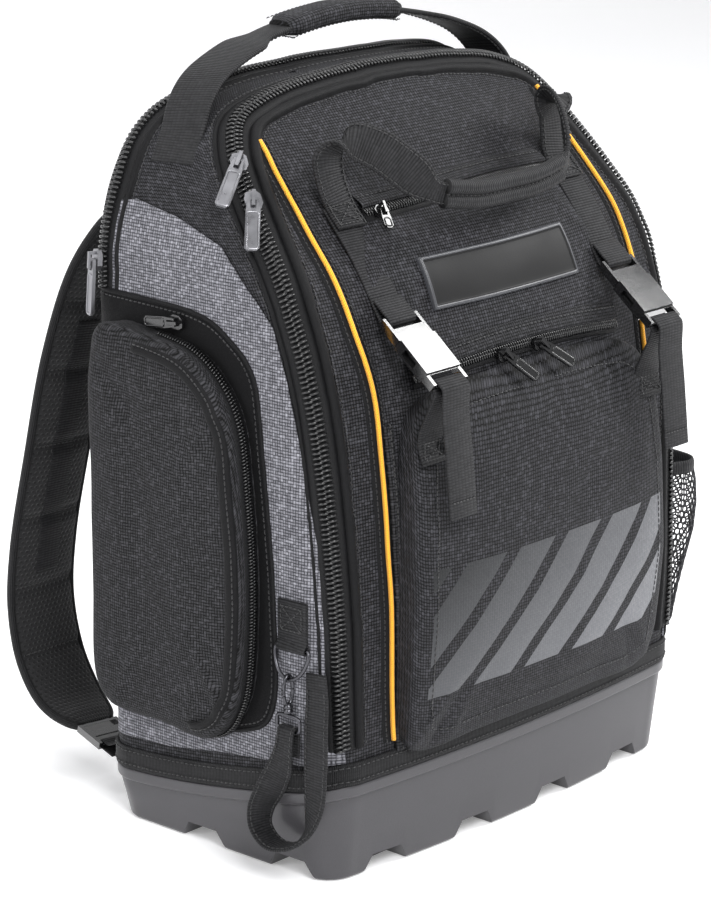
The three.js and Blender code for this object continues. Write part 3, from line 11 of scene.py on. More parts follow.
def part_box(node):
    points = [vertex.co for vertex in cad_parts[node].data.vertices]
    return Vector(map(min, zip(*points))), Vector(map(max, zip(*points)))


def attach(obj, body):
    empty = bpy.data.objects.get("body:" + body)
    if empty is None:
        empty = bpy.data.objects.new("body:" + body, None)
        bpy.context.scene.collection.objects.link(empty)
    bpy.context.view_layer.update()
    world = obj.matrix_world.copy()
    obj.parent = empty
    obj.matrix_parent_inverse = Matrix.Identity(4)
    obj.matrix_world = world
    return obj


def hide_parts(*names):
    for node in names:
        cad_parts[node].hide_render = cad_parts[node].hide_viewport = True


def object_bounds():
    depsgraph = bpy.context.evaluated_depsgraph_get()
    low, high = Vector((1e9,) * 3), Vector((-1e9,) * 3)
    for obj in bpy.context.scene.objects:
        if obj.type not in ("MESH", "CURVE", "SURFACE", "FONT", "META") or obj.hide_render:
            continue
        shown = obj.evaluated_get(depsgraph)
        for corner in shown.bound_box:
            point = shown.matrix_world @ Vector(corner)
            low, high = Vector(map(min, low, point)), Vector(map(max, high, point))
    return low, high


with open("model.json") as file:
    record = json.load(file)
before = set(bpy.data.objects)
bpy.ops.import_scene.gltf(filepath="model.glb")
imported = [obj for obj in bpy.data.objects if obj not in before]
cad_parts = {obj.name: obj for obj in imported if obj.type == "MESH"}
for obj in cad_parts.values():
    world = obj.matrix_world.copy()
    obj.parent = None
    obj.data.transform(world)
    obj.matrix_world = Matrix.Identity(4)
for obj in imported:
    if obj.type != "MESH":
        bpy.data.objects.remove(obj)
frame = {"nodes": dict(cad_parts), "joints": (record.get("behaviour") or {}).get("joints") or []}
cad_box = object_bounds()
NODES = frame["nodes"]

# Everything below is worked out in millimetres about the bag's own centre plane, then moved
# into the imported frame: the body shell's left and rear faces say where that plane is.
MM = 0.001
HALF_WIDTH, FRONT, BACK, HEIGHT = 187.0, 121.0, 110.0, 510.0
shell_low, shell_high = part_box("body_shell")
MIDDLE = np.array([-HALF_WIDTH - shell_low.x / MM, BACK - shell_high.y / MM, 0.0])


def unit(v):
    v = np.asarray(v, float)
    return v / np.maximum(np.linalg.norm(v, axis=-1, keepdims=True), 1e-12)


def smoothstep(a, b, x):
    t = np.clip((np.asarray(x, float) - a) / (b - a), 0, 1)
    return t * t * (3 - 2 * t)


def table(rows, columns):
    return [dict(zip(columns.split(), row)) for row in rows]


# Routes

def distances(points):
    """The distance along a line at each of its points."""
    return np.concatenate([[0], np.cumsum(np.linalg.norm(np.diff(points, axis=0), axis=1))])


def catmull(points, count):
    """A centripetal Catmull-Rom curve through points, cut into even steps."""
    p = np.asarray(points, float)
    dim = min(3, p.shape[1])
    first = 2 * p[0] - p[1]
    last = 2 * p[-1] - p[-2]
    q = np.vstack([first, p, last])
    fine = []
    for i in range(1, len(q) - 2):
        a, b, c, d = q[i - 1:i + 3]
        knots = [0.0]
        for m, n in ((a, b), (b, c), (c, d)):
            knots.append(knots[-1] + max(np.linalg.norm((n - m)[:dim]) ** 0.5, 1e-3))
        t = np.linspace(knots[1], knots[2], 17)[:, None]
        if i < len(q) - 3:
            t = t[:-1]
        mix = lambda m, n, s, e: m * (e - t) / (e - s) + n * (t - s) / (e - s)
        a1 = mix(a, b, knots[0], knots[1])
        a2 = mix(b, c, knots[1], knots[2])
        a3 = mix(c, d, knots[2], knots[3])
        b1 = mix(a1, a2, knots[0], knots[2])
        b2 = mix(a2, a3, knots[1], knots[3])
        fine.append(mix(b1, b2, knots[1], knots[2]))
    fine = np.vstack(fine)
    way = distances(fine[:, :dim])
    at = np.linspace(0, way[-1], count + 1)
    return np.stack([np.interp(at, way, fine[:, k]) for k in range(fine.shape[1])], axis=1)


def route_length(points):
    return float(np.linalg.norm(np.diff(np.asarray(points)[:, :3], axis=0), axis=1).sum())


def tangents(points):
    before = np.vstack([points[:1], points[:-1]])
    after = np.vstack([points[1:], points[-1:]])
    return unit(after - before)


# Meshes

def to_frame(points):
    return (np.asarray(points, float) - MIDDLE) * MM


def make(name, points, faces, material, uv=None, body="bag", slot=None, replaces=(), smooth=True, index=None):
    """One mesh piece: points in millimetres, uv in millimetres per vertex."""
    data = bpy.data.meshes.new(name)
    data.from_pydata(to_frame(points).tolist(), [], [tuple(int(i) for i in f) for f in faces])
    data.validate()
    if uv is not None:
        layer = data.uv_layers.new(name="cloth")
        corner = np.empty(len(data.loops), np.int32)
        data.loops.foreach_get("vertex_index", corner)
        layer.data.foreach_set("uv", (np.asarray(uv, float)[corner] * MM).astype(np.float32).ravel())
    materials = material if isinstance(material, (list, tuple)) else [material]
    for item in materials:
        data.materials.append(item)
    if index is not None and len(data.polygons) == len(index):
        data.polygons.foreach_set("material_index", np.asarray(index, np.int32))
    data.polygons.foreach_set("use_smooth", [smooth] * len(data.polygons))
    piece = bpy.data.objects.new(name, data)
    bpy.context.scene.collection.objects.link(piece)
    outward(piece)
    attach(piece, body)
    if replaces:
        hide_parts(*replaces)
    return piece


def outward(piece):
    net = bmesh.new()
    net.from_mesh(piece.data)
    bmesh.ops.recalc_face_normals(net, faces=net.faces)
    net.to_mesh(piece.data)
    net.free()


def thicken(piece, millimetres, offset=1.0):
    solid = piece.modifiers.new("cloth_thickness", "SOLIDIFY")
    solid.thickness = millimetres * MM
    solid.offset = offset
    return piece


def rounded_edges(piece, millimetres, segments=2, angle=30):
    bevel = piece.modifiers.new("edge_round", "BEVEL")
    bevel.width = millimetres * MM
    bevel.segments = segments
    bevel.limit_method = "ANGLE"
    bevel.angle_limit = math.radians(angle)
    bevel.harden_normals = False
    for polygon in piece.data.polygons:
        polygon.use_smooth = True
    return piece


def settle(piece):
    """Applies the modifiers of a piece."""
    bpy.context.view_layer.update()
    graph = bpy.context.evaluated_depsgraph_get()
    data = bpy.data.meshes.new_from_object(piece.evaluated_get(graph))
    piece.modifiers.clear()
    piece.data = data
    return piece


def grid_faces(rows, columns, wrap_rows=False, wrap_columns=False):
    r = np.arange(rows if wrap_rows else rows - 1)
    c = np.arange(columns if wrap_columns else columns - 1)
    rr, cc = np.meshgrid(r, c, indexing="ij")
    r2 = (rr + 1) % rows
    c2 = (cc + 1) % columns
    corners = [rr * columns + cc, rr * columns + c2, r2 * columns + c2, r2 * columns + cc]
    return np.stack(corners, -1).reshape(-1, 4)


def end_caps(rows, columns):
    """The faces over both ends of a tube of rings."""
    return [list(range(columns))[::-1], [(rows - 1) * columns + i for i in range(columns)]]


class Heap:
    """Points and faces collected for one joined mesh."""

    def __init__(self):
        self.points, self.faces, self.uv, self.index, self.total = [], [], [], [], 0

    def add(self, points, faces, uv=None, index=0):
        points = np.asarray(points, float).reshape(-1, 3)
        self.points.append(points)
        self.faces.extend([tuple(int(i) + self.total for i in f) for f in faces])
        self.uv.append(np.zeros((len(points), 2)) if uv is None else np.asarray(uv, float).reshape(-1, 2))
        self.index.extend([index] * len(faces))
        self.total += len(points)

    def make(self, name, material, **words):
        return make(name, np.vstack(self.points), self.faces, material, uv=np.vstack(self.uv),
                    index=self.index, **words)


def sweep(heap, points, across, out, section, closed_section=True, loop=False, share=None):
    """A section [(across, out)] carried along a route, with uv across and along."""
    points, across, out = (np.asarray(a, float) for a in (points, across, out))
    section = np.asarray(section, float)
    n, m = len(points), len(section)
    wide = np.ones(n) if share is None else np.asarray(share, float)
    ring = (points[:, None, :] + across[:, None, :] * (section[None, :, 0:1] * wide[:, None, None])
            + out[:, None, :] * section[None, :, 1:2])
    way = distances(points)
    girth = distances(section)
    uv = np.stack(np.broadcast_arrays(girth[None, :] - girth[-1] / 2, way[:, None]), -1)
    faces = grid_faces(n, m, wrap_rows=loop, wrap_columns=closed_section).tolist()
    if not loop and closed_section:
        faces += end_caps(n, m)
    heap.add(ring.reshape(-1, 3), faces, uv.reshape(-1, 2))


def strap_section(wide, thick, edge=0.6, steps=3):
    """A flat section with rounded edges."""
    half, r = wide / 2, min(thick / 2, edge)
    rest = []
    for cx, cy, start in ((half - r, thick / 2 - r, 0), (-half + r, thick / 2 - r, 90),
                          (-half + r, -thick / 2 + r, 180), (half - r, -thick / 2 + r, 270)):
        for i in range(steps):
            a = math.radians(start + 90 * i / (steps - 1))
            rest.append((cx + r * math.cos(a), cy + r * math.sin(a)))
    return rest


def disc_section(radius, sides):
    return [(radius * math.cos(2 * math.pi * i / sides), radius * math.sin(2 * math.pi * i / sides))
            for i in range(sides)]


def tube(heap, points, radius, sides=8, loop=False, share=None):
    """A round wire along a route, with a steady frame."""
    points = np.asarray(points, float)
    along = unit(np.roll(points, -1, 0) - np.roll(points, 1, 0)) if loop else tangents(points)
    side = np.zeros_like(points)
    guess = np.array([0.31, 0.23, 0.92])
    guess = unit(np.cross(along[0], guess))
    for i in range(len(points)):
        guess = unit(guess - along[i] * np.dot(guess, along[i]))
        side[i] = guess
    out = np.cross(side, along)
    ring = disc_section(radius, sides)
    if share is not None:
        ring_share = np.asarray(share, float)
        section = np.asarray(ring)
        spots = points[:, None, :] + (side[:, None, :] * section[None, :, 0:1]
                                      + out[:, None, :] * section[None, :, 1:2]) * ring_share[:, None, None]
        way = distances(points)
        turn = np.arange(sides) * 2 * math.pi * radius / sides
        uv = np.stack(np.broadcast_arrays(turn[None, :], way[:, None]), -1)
        faces = grid_faces(len(points), sides, wrap_columns=True).tolist()
        faces += end_caps(len(points), sides)
        heap.add(spots.reshape(-1, 3), faces, uv.reshape(-1, 2))
        return
    sweep(heap, points, side, out, ring, loop=loop)


# Materials

class Shader:
    """A short way to wire shader nodes."""

    def __init__(self, name, **constants):
        self.material = bpy.data.materials.new(name)
        self.material.use_nodes = True
        self.tree = self.material.node_tree
        self.surface = self.tree.nodes["Principled BSDF"]
        for key, value in constants.items():
            self.set(key.replace("_", " "), value)

    def set(self, socket, value):
        self.surface.inputs[socket].default_value = value

    def node(self, kind, **settings):
        item = self.tree.nodes.new(kind)
        for key, value in settings.items():
            setattr(item, key, value)
        return item

    def plug(self, value, socket):
        if isinstance(value, bpy.types.NodeSocket):
            self.tree.links.new(value, socket)
        else:
            socket.default_value = value

    def math(self, operation, a, b=0.0):
        item = self.node("ShaderNodeMath", operation=operation)
        self.plug(a, item.inputs[0])
        self.plug(b, item.inputs[1])
        return item.outputs[0]

    def add(self, a, b):
        return self.math("ADD", a, b)

    def sub(self, a, b):
        return self.math("SUBTRACT", a, b)

    def mul(self, a, b):
        return self.math("MULTIPLY", a, b)

    def div(self, a, b):
        return self.math("DIVIDE", a, b)

    def uv(self):
        split = self.node("ShaderNodeSeparateXYZ")
        self.plug(self.node("ShaderNodeUVMap", uv_map="cloth").outputs[0], split.inputs[0])
        return split.outputs[0], split.outputs[1]

    def place(self):
        return self.node("ShaderNodeTexCoord").outputs["Object"]

    def noise(self, scale, detail=3.0, rough=0.5, stretch=None):
        item = self.node("ShaderNodeTexNoise")
        source = self.place()
        if stretch:
            shape = self.node("ShaderNodeMapping")
            shape.inputs["Scale"].default_value = stretch
            self.plug(source, shape.inputs[0])
            source = shape.outputs[0]
        self.plug(source, item.inputs["Vector"])
        item.inputs["Scale"].default_value = scale
        item.inputs["Detail"].default_value = detail
        item.inputs["Roughness"].default_value = rough
        return item.outputs[0]

    def white(self, a, b):
        join = self.node("ShaderNodeCombineXYZ")
        self.plug(a, join.inputs[0])
        self.plug(b, join.inputs[1])
        item = self.node("ShaderNodeTexWhiteNoise", noise_dimensions="2D")
        self.plug(join.outputs[0], item.inputs["Vector"])
        return item.outputs[0]

    def ramp(self, value, stops):
        item = self.node("ShaderNodeValToRGB")
        self.plug(value, item.inputs[0])
        marks = item.color_ramp.elements
        while len(marks) < len(stops):
            marks.new(0.5)
        for mark, (at, colour) in zip(marks, stops):
            mark.position = at
            mark.color = colour
        return item.outputs[0]

    def mix(self, factor, a, b):
        item = self.node("ShaderNodeMix", data_type="RGBA")
        self.plug(factor, item.inputs[0])
        self.plug(a, item.inputs[6])
        self.plug(b, item.inputs[7])
        return item.outputs[2]

    def span(self, value, low, high, to_low, to_high):
        item = self.node("ShaderNodeMapRange")
        self.plug(value, item.inputs[0])
        for k, number in enumerate((low, high, to_low, to_high)):
            self.plug(number, item.inputs[k + 1])
        return item.outputs[0]

    def bump(self, height, distance, strength=1.0, normal=None):
        item = self.node("ShaderNodeBump")
        item.inputs["Strength"].default_value = strength
        item.inputs["Distance"].default_value = distance
        self.plug(height, item.inputs["Height"])
        if normal is not None:
            self.plug(normal, item.inputs["Normal"])
        return item.outputs[0]

    def finish(self, colour, rough=None, normal=None):
        for value, name in ((colour, "Base Color"), (rough, "Roughness"), (normal, "Normal")):
            if value is not None:
                self.plug(value, self.surface.inputs[name])
        return self.material


def linear(r, g, b):
    """A colour read as 0-255 display values, as linear light."""
    def one(v):
        v = v / 255
        return v / 12.92 if v <= 0.04045 else ((v + 0.055) / 1.055) ** 2.4
    return (one(r), one(g), one(b), 1.0)


def threads(s, pitch, style, irregular=0.25):
    """Height of a weave (0-1) in uv metres: twill, herringbone, or plain for any other style (basket too), and the
    thread cell's own shade.
    """
    u, v = s.uv()
    wobble = s.noise(45.0, 2.0)
    u = s.add(s.div(u, pitch), s.mul(s.sub(wobble, 0.5), 0.14))
    v = s.add(s.div(v, pitch), s.mul(s.sub(wobble, 0.5), -0.12))
    cell_u = s.math("FLOOR", u)
    cell_v = s.math("FLOOR", v)
    if style == "twill":
        over = s.math("LESS_THAN", s.math("FLOORED_MODULO", s.add(cell_u, cell_v), 4.0), 2.0)
    elif style == "herringbone":
        fold = s.math("PINGPONG", u, 6.0)
        over = s.math("LESS_THAN", s.math("FLOORED_MODULO", s.add(s.math("FLOOR", fold), cell_v), 3.0), 1.5)
    else:
        over = s.math("LESS_THAN", s.math("FLOORED_MODULO", s.add(cell_u, cell_v), 2.0), 1.0)
    dome = lambda t: s.math("SQRT", s.math("ABSOLUTE", s.math("SINE", s.mul(t, math.pi))))
    warp, weft = dome(u), dome(v)
    blend = s.node("ShaderNodeMix", data_type="FLOAT")
    s.plug(over, blend.inputs[0])
    s.plug(s.mul(warp, s.add(0.6, s.mul(weft, 0.4))), blend.inputs[2])
    s.plug(s.mul(weft, s.add(0.6, s.mul(warp, 0.4))), blend.inputs[3])
    height = blend.outputs[0]
    shade = s.white(cell_u, cell_v)
    return height, shade


def woven(name, dark, light, pitch=0.0015, style="basket", depth=0.0003, rough=0.78, soil=0.12, sheen=0.15,
          specular=0.16):
    s = Shader(name, Sheen_Weight=sheen, Sheen_Roughness=0.4, Specular_IOR_Level=specular)
    height, shade = threads(s, pitch, style)
    cloud = s.noise(9.0, 4.0)
    fine = s.noise(420.0, 2.0)
    # Painted light: colour follows the weave's height, so thread tops carry painted highlight and the gaps between
    # threads carry painted shade. The brightest cells (cell value cubed) add painted glints on the yarn.
    painted_glint = s.math("POWER", shade, 3.0)
    tone = s.add(s.mul(height, 0.72), s.mul(painted_glint, 0.28))
    tone = s.add(tone, s.mul(s.sub(fine, 0.5), 0.3))
    tone = s.add(tone, s.mul(s.sub(cloud, 0.5), soil))
    colour = s.ramp(tone, [(0.40, dark), (0.95, light)])
    normal = s.bump(height, depth, 0.9)
    normal = s.bump(cloud, 0.002, 0.35, normal)
    return s.finish(colour, s.span(shade, 0, 1, rough - 0.12, rough + 0.1), normal)


def ribbed(name, dark, light, rib=0.0011, across_rib=0.0, depth=0.0004, rough=0.6, swap=False, sheen=0.1):
    """Webbing: ribs across its length, and fine lines along it."""
    s = Shader(name, Sheen_Weight=sheen, Specular_IOR_Level=0.22)
    u, v = s.uv()
    if swap:
        u, v = v, u
    wobble = s.mul(s.sub(s.noise(60.0, 2.0), 0.5), 0.8)
    ribs = s.math("ABSOLUTE", s.math("SINE", s.add(s.mul(v, math.pi / rib), wobble)))
    lines = s.math("ABSOLUTE", s.math("SINE", s.mul(u, math.pi / (across_rib or rib * 1.7))))
    height = s.add(s.mul(ribs, 0.65), s.mul(s.mul(lines, ribs), 0.35))
    shade = s.white(s.math("FLOOR", s.div(v, rib)), s.math("FLOOR", s.div(u, rib * 1.7)))
    fuzz = s.noise(700.0, 2.0)
    cloud = s.noise(14.0, 3.0)
    # Painted light: colour follows the rib height, with painted highlight on the ribs and painted shade in the grooves.
    # The per-cell value and noise add random tone.
    tone = s.add(s.mul(height, 0.55), s.mul(shade, 0.25))
    tone = s.add(tone, s.mul(fuzz, 0.25))
    tone = s.add(tone, s.mul(s.sub(cloud, 0.5), 0.2))
    colour = s.ramp(tone, [(0.15, dark), (1.0, light)])
    normal = s.bump(height, depth, 0.9)
    return s.finish(colour, s.span(fuzz, 0, 1, rough - 0.1, rough + 0.12), normal)


def moulded(name, colour, rough=0.42, grain=900.0, grain_depth=0.00012, specular=0.5, coat=0.0,
            variation=0.12):
    """Moulded plastic or rubber with a fine spark-eroded grain."""
    s = Shader(name, Specular_IOR_Level=specular, Coat_Weight=coat, Coat_Roughness=0.12)
    cloud = s.noise(16.0, 5.0)
    fine = s.noise(grain, 3.0, 0.6)
    tint = s.add(s.mul(cloud, variation), s.mul(fine, variation))
    low = tuple(c * (1 - variation) for c in colour[:3]) + (1.0,)
    high = tuple(min(1, c * (1 + variation * 1.6)) for c in colour[:3]) + (1.0,)
    shade = s.ramp(s.span(tint, variation * 0.6, variation * 1.4, 0, 1), [(0.0, low), (1.0, high)])
    normal = s.bump(fine, grain_depth, 0.5)
    return s.finish(shade, s.span(cloud, 0.3, 0.7, rough - 0.05, rough + 0.07), normal)


def metal(name, colour, rough=0.28, brushed=(8.0, 240.0, 8.0)):
    s = Shader(name, Metallic=1.0)
    scratch = s.noise(60.0, 4.0, 0.6, stretch=brushed)
    cloud = s.noise(70.0, 3.0)
    low = tuple(c * 0.72 for c in colour[:3]) + (1.0,)
    shade = s.ramp(s.add(s.mul(scratch, 0.6), s.mul(cloud, 0.4)),
                   [(0.3, low), (0.7, colour)])
    normal = s.bump(scratch, 0.00004, 0.4)
    return s.finish(shade, s.span(cloud, 0.3, 0.7, rough - 0.06, rough + 0.12), normal)


def cord_finish(name, dark, light, pitch=0.0016):
    """A corded edging: strands wound on a slant."""
    s = Shader(name, Sheen_Weight=0.2, Specular_IOR_Level=0.4)
    u, v = s.uv()
    slant = s.add(s.div(v, pitch), s.div(u, pitch * 1.6))
    strand = s.math("ABSOLUTE", s.math("SINE", s.mul(slant, math.pi)))
    fuzz = s.noise(800.0, 2.0)
    cloud = s.noise(25.0, 3.0)
    # Painted light: colour follows the strands, with painted highlight on each strand and painted shade between them.
    tone = s.add(s.mul(strand, 0.5), s.mul(fuzz, 0.35))
    tone = s.add(tone, s.mul(cloud, 0.25))
    return s.finish(s.ramp(tone, [(0.2, dark), (0.75, light)]), s.span(fuzz, 0, 1, 0.5, 0.75),
                    s.bump(strand, 0.0004, 0.8))


def air_mesh(name, dark, light, pitch=0.0042):
    """Spacer mesh: round holes in offset rows, with painted shade inside each hole."""
    s = Shader(name, Sheen_Weight=0.15, Specular_IOR_Level=0.4)
    u, v = s.uv()
    row = s.div(v, pitch * 0.86)
    shift = s.mul(s.math("FLOORED_MODULO", s.math("FLOOR", row), 2.0), 0.5)
    du = s.sub(s.math("FRACT", s.add(s.div(u, pitch), shift)), 0.5)
    dv = s.sub(s.math("FRACT", row), 0.5)
    far = s.math("SQRT", s.add(s.mul(du, du), s.mul(dv, dv)))
    hole = s.span(far, 0.2, 0.34, 0.0, 1.0)
    fuzz = s.noise(900.0, 2.0)
    cloud = s.noise(10.0, 3.0)
    # Painted shade: colour follows the hole depth and is darkest in the middle of each hole.
    tone = s.add(s.mul(hole, 0.6), s.mul(fuzz, 0.3))
    tone = s.add(tone, s.mul(s.sub(cloud, 0.5), 0.2))
    return s.finish(s.ramp(tone, [(0.1, dark), (0.95, light)]), s.span(fuzz, 0, 1, 0.7, 0.92),
                    s.bump(hole, 0.0008, 0.8))


BLACK_WEAVE = woven("black_weave", linear(1, 1, 1), linear(67, 67, 71), 0.00230, "basket", sheen=0.02)
SIDE_WEAVE = woven("black_twill", linear(1, 1, 1), linear(62, 62, 65), 0.00210, "twill", sheen=0.02)
GREY_WEAVE = woven("grey_weave", linear(50, 50, 54), linear(146, 146, 153), 0.00210, "herringbone",
                   rough=0.8, sheen=0.02)
SOFT_BLACK = woven("smooth_black", linear(4, 4, 5), linear(26, 26, 28), 0.0007, "plain", 0.0001, rough=0.6,
                   sheen=0.02)
VELVET = woven("gusset_black", linear(3, 3, 4), linear(20, 20, 22), 0.0009, "plain", 0.00015, rough=0.85,
               sheen=0.05)
WEBBING = ribbed("black_webbing", linear(2, 2, 3), linear(44, 44, 46), 0.0019, sheen=0.02)
BINDING = ribbed("binding_tape", linear(3, 3, 4), linear(30, 30, 32), 0.0014, depth=0.0005, swap=True,
                 sheen=0.02)
TAPE = ribbed("zip_tape", linear(3, 3, 4), linear(22, 22, 24), 0.0008, depth=0.0002, sheen=0.0)
COIL = moulded("zip_coil_nylon", linear(15, 15, 16), 0.3, 500.0, 0.0002, 0.6, 0.1, 0.3)
TUB = moulded("base_plastic", linear(62, 61, 64), 0.34, 1100.0, 0.00015, 0.4)
BUCKLE_PLASTIC = moulded("buckle_plastic", linear(20, 20, 21), 0.12, 1400.0, 0.00004, 0.8, 0.9)
RUBBER = moulded("patch_rubber", linear(16, 16, 17), 0.5, 900.0, 0.0001, 0.2)
RUBBER_RIM = moulded("patch_rim", linear(58, 59, 63), 0.38, 900.0, 0.0001, 0.5)
STEEL = metal("brushed_steel", linear(150, 150, 154), 0.3)
DARK_STEEL = metal("gunmetal", linear(84, 84, 88), 0.26)
BLACK_GLOSS = moulded("black_gloss", linear(16, 16, 17), 0.16, 900.0, 0.00005, 0.6, 0.6)
ORANGE = cord_finish("orange_cord", linear(214, 120, 6), linear(255, 186, 40))
AIR_MESH = air_mesh("air_mesh", linear(2, 2, 3), linear(30, 30, 32))
NET_THREAD = ribbed("net_thread", linear(14, 14, 15), linear(50, 50, 54), 0.0005, depth=0.0001)
STITCH = cord_finish("sewing_thread", linear(8, 8, 9), linear(34, 34, 36), 0.0006)

# The bag's form: reaches in millimetres at each level

SECTIONS = np.array([
    # up, wide, front, bow, back
    (0.200, 1.000, 0.970, 0.55, 0.940), (0.300, 1.000, 0.995, 0.70, 0.950),
                     (0.430, 1.000, 1.000, 0.85, 0.955),
    (0.560, 1.000, 0.985, 0.98, 0.965), (0.650, 1.000, 0.935, 1.05, 0.980),
                     (0.725, 1.000, 0.835, 1.05, 1.000),
    (0.784, 0.995, 0.711, 1.05, 1.000), (0.843, 0.968, 0.512, 1.05, 0.991),
                     (0.892, 0.930, 0.322, 1.00, 0.964),
    (0.931, 0.882, 0.182, 0.95, 0.918), (0.960, 0.800, 0.080, 0.88, 0.850),
                     (0.982, 0.660, 0.000, 0.75, 0.770),
    (0.994, 0.470, -0.060, 0.50, 0.690), (1.000, 0.260, -0.110, 0.30, 0.600)])
BOW, FRONT_RADIUS, BACK_RADIUS = 20.0, 30.0, 26.0
RIM, BACK_RIM, COLLAR = 70.0, 40.0, 6.0
SHARES = SECTIONS * np.array([HEIGHT, HALF_WIDTH, FRONT, 1.0, BACK])


def rim_at(y):
    start = -FRONT + 14
    share = np.clip((np.asarray(y, float) - start) / (BACK - 23 - start), 0, 1)
    return RIM - (RIM - BACK_RIM) * (1 - (1 - share) ** 1.6)


DENSE = {"front": 64, "corner": 14, "side": 26, "heel": 12, "back": 30}


def ring_xy(half, reach, bow_share, rear, grow=0.0, steps=DENSE):
    """One closed section seen from above, anticlockwise from the middle of the back."""
    half, front, back = half + grow, -reach - grow, rear + grow
    rf = min(FRONT_RADIUS + grow, half / 2)
    rb = min(BACK_RADIUS + grow, half / 2)
    flat = half - rf
    bow = lambda x: bow_share * BOW * (x / half) ** 2
    corner_y = front + bow(flat) + rf
    rear_x = half - rb
    rows = []
    arc = lambda cx, cy, r, start: [(cx + r * math.cos(math.radians(start + 90 * i / n)),
                                     cy + r * math.sin(math.radians(start + 90 * i / n))) for i in range(n)]
    n = steps["back"] // 2
    rows += [(-rear_x * i / n, back) for i in range(n)]
    n = steps["heel"]
    rows += arc(-rear_x, back - rb, rb, 90)
    n = steps["side"]
    side_from, side_to = back - rb, corner_y
    rows += [(-half, side_from + (side_to - side_from) * i / n) for i in range(n)]
    n = steps["corner"]
    rows += arc(-flat, corner_y, rf, 180)
    n = steps["front"]
    rows += [(-flat + 2 * flat * i / n, front + bow(-flat + 2 * flat * i / n)) for i in range(n)]
    n = steps["corner"]
    rows += arc(flat, corner_y, rf, 270)
    n = steps["side"]
    rows += [(half, side_to + (side_from - side_to) * i / n) for i in range(n)]
    n = steps["heel"]
    rows += arc(rear_x, back - rb, rb, 0)
    n = steps["back"] // 2
    rows += [(rear_x * (1 - i / n), back) for i in range(n)]
    return np.array(rows)


def base_ring(level_at, grow, steps=DENSE):
    xy = ring_xy(*SHARES[0][1:], grow=grow, steps=steps)
    return np.column_stack([xy, level_at(xy[:, 1]) * np.ones(len(xy))])


# Soft dents and folds on the bag: face, two coordinates on it, the angle, half length, half width, height
FOLDS = table([
    ("front", -118, 395, 62, 34, 5.0, 2.2), ("front", -104, 372, 70, 30, 4.5, -1.8),
    ("front", -60, 352, 8, 46, 6.0, 1.5), ("front", 40, 356, -6, 52, 6.0, 1.4),
    ("front", 96, 402, -58, 30, 5.0, 1.8), ("front", -30, 412, 4, 60, 7.0, 1.6),
    ("front", 0, 470, 0, 90, 12.0, 2.0), ("front", 60, 330, 10, 50, 7.0, -1.4),
    ("left", -10, 400, 12, 60, 9.0, 1.5), ("left", 50, 392, -8, 40, 8.0, -1.6),
    ("left", -72, 150, 82, 60, 7.0, 1.3), ("left", -78, 300, 84, 46, 6.0, -1.0),
    ("right", -40, 380, 10, 60, 10.0, 1.8), ("right", 20, 330, 4, 70, 9.0, -1.8),
    ("right", 10, 260, -6, 60, 10.0, 1.6), ("right", 60, 180, 80, 60, 9.0, -1.6),
    ("back", -80, 470, 5, 60, 8.0, 1.5), ("back", 80, 474, -6, 60, 8.0, 1.5),
], "face a b angle long wide high")


def soft_dents(points, normals):
    """How far cloth stands out at each point, in millimetres."""
    rise = np.zeros(len(points))
    facing = {"front": -normals[:, 1], "back": normals[:, 1], "left": -normals[:, 0], "right": normals[:, 0]}
    for fold in FOLDS:
        weight = smoothstep(0.45, 0.8, facing[fold["face"]])
        a = points[:, 0] if fold["face"] in ("front", "back") else points[:, 1]
        da, db = a - fold["a"], points[:, 2] - fold["b"]
        turn = math.radians(fold["angle"])
        along = da * math.cos(turn) + db * math.sin(turn)
        across = -da * math.sin(turn) + db * math.cos(turn)
        shape = np.exp(-(along / fold["long"]) ** 2 - (across / fold["wide"]) ** 2)
        rise += weight * fold["high"] * shape
    wave = np.array([noise.noise(Vector(p) * 0.013) + 0.5 * noise.noise(Vector(p) * 0.031 + Vector((7, 3, 1)))
                     for p in points])
    return rise + 1.3 * wave * smoothstep(88, 130, points[:, 2])


def bag_rings():
    dense = catmull(SHARES, 118)
    tops = dense[dense[:, 0] >= SHARES[0][0]]
    rings = []
    low = np.linspace(0, 1, 9)[:-1]
    first = ring_xy(*SHARES[0][1:])
    for share in low:
        start = rim_at(first[:, 1]) + COLLAR - 12
        rings.append(np.column_stack([first, start + (SHARES[0][0] - start) * share]))
    for up, half, reach, bow, rear in tops:
        xy = ring_xy(half, reach, bow, rear)
        rings.append(np.column_stack([xy, np.full(len(xy), min(up, HEIGHT))]))
    last = rings[-1]
    hub = last.mean(0)
    for share, rise in ((0.75, 0.5), (0.45, 0.9), (0.15, 1.1), (0.02, 1.15)):
        ring = hub + (last - hub) * share
        ring[:, 2] = HEIGHT + rise
        rings.append(ring)
    return np.stack(rings)


rings = bag_rings()
rows_count, ring_count = rings.shape[:2]


def ring_normals(grid):
    right = np.roll(grid, -1, 1) - np.roll(grid, 1, 1)
    up = np.vstack([grid[1:2] - grid[:1], grid[2:] - grid[:-2], grid[-1:] - grid[-2:-1]])
    return unit(np.cross(right, up))


facing = ring_normals(rings)
flat_points, flat_normals = rings.reshape(-1, 3), facing.reshape(-1, 3)
rings = (flat_points + flat_normals * soft_dents(flat_points, flat_normals)[:, None]).reshape(rings.shape)
body_faces = grid_faces(rows_count, ring_count, wrap_columns=True)
body_tree = BVHTree.FromPolygons([tuple(p) for p in rings.reshape(-1, 3)],
                                 [tuple(f) for f in body_faces.tolist()])
body_normals = ring_normals(rings).reshape(-1, 3)


def skin_normal(place, face):
    corners = body_faces[face]
    spots = rings.reshape(-1, 3)[corners]
    weight = 1 / (np.linalg.norm(spots - np.array(place), axis=1) + 0.5)
    return unit((body_normals[corners] * weight[:, None]).sum(0))


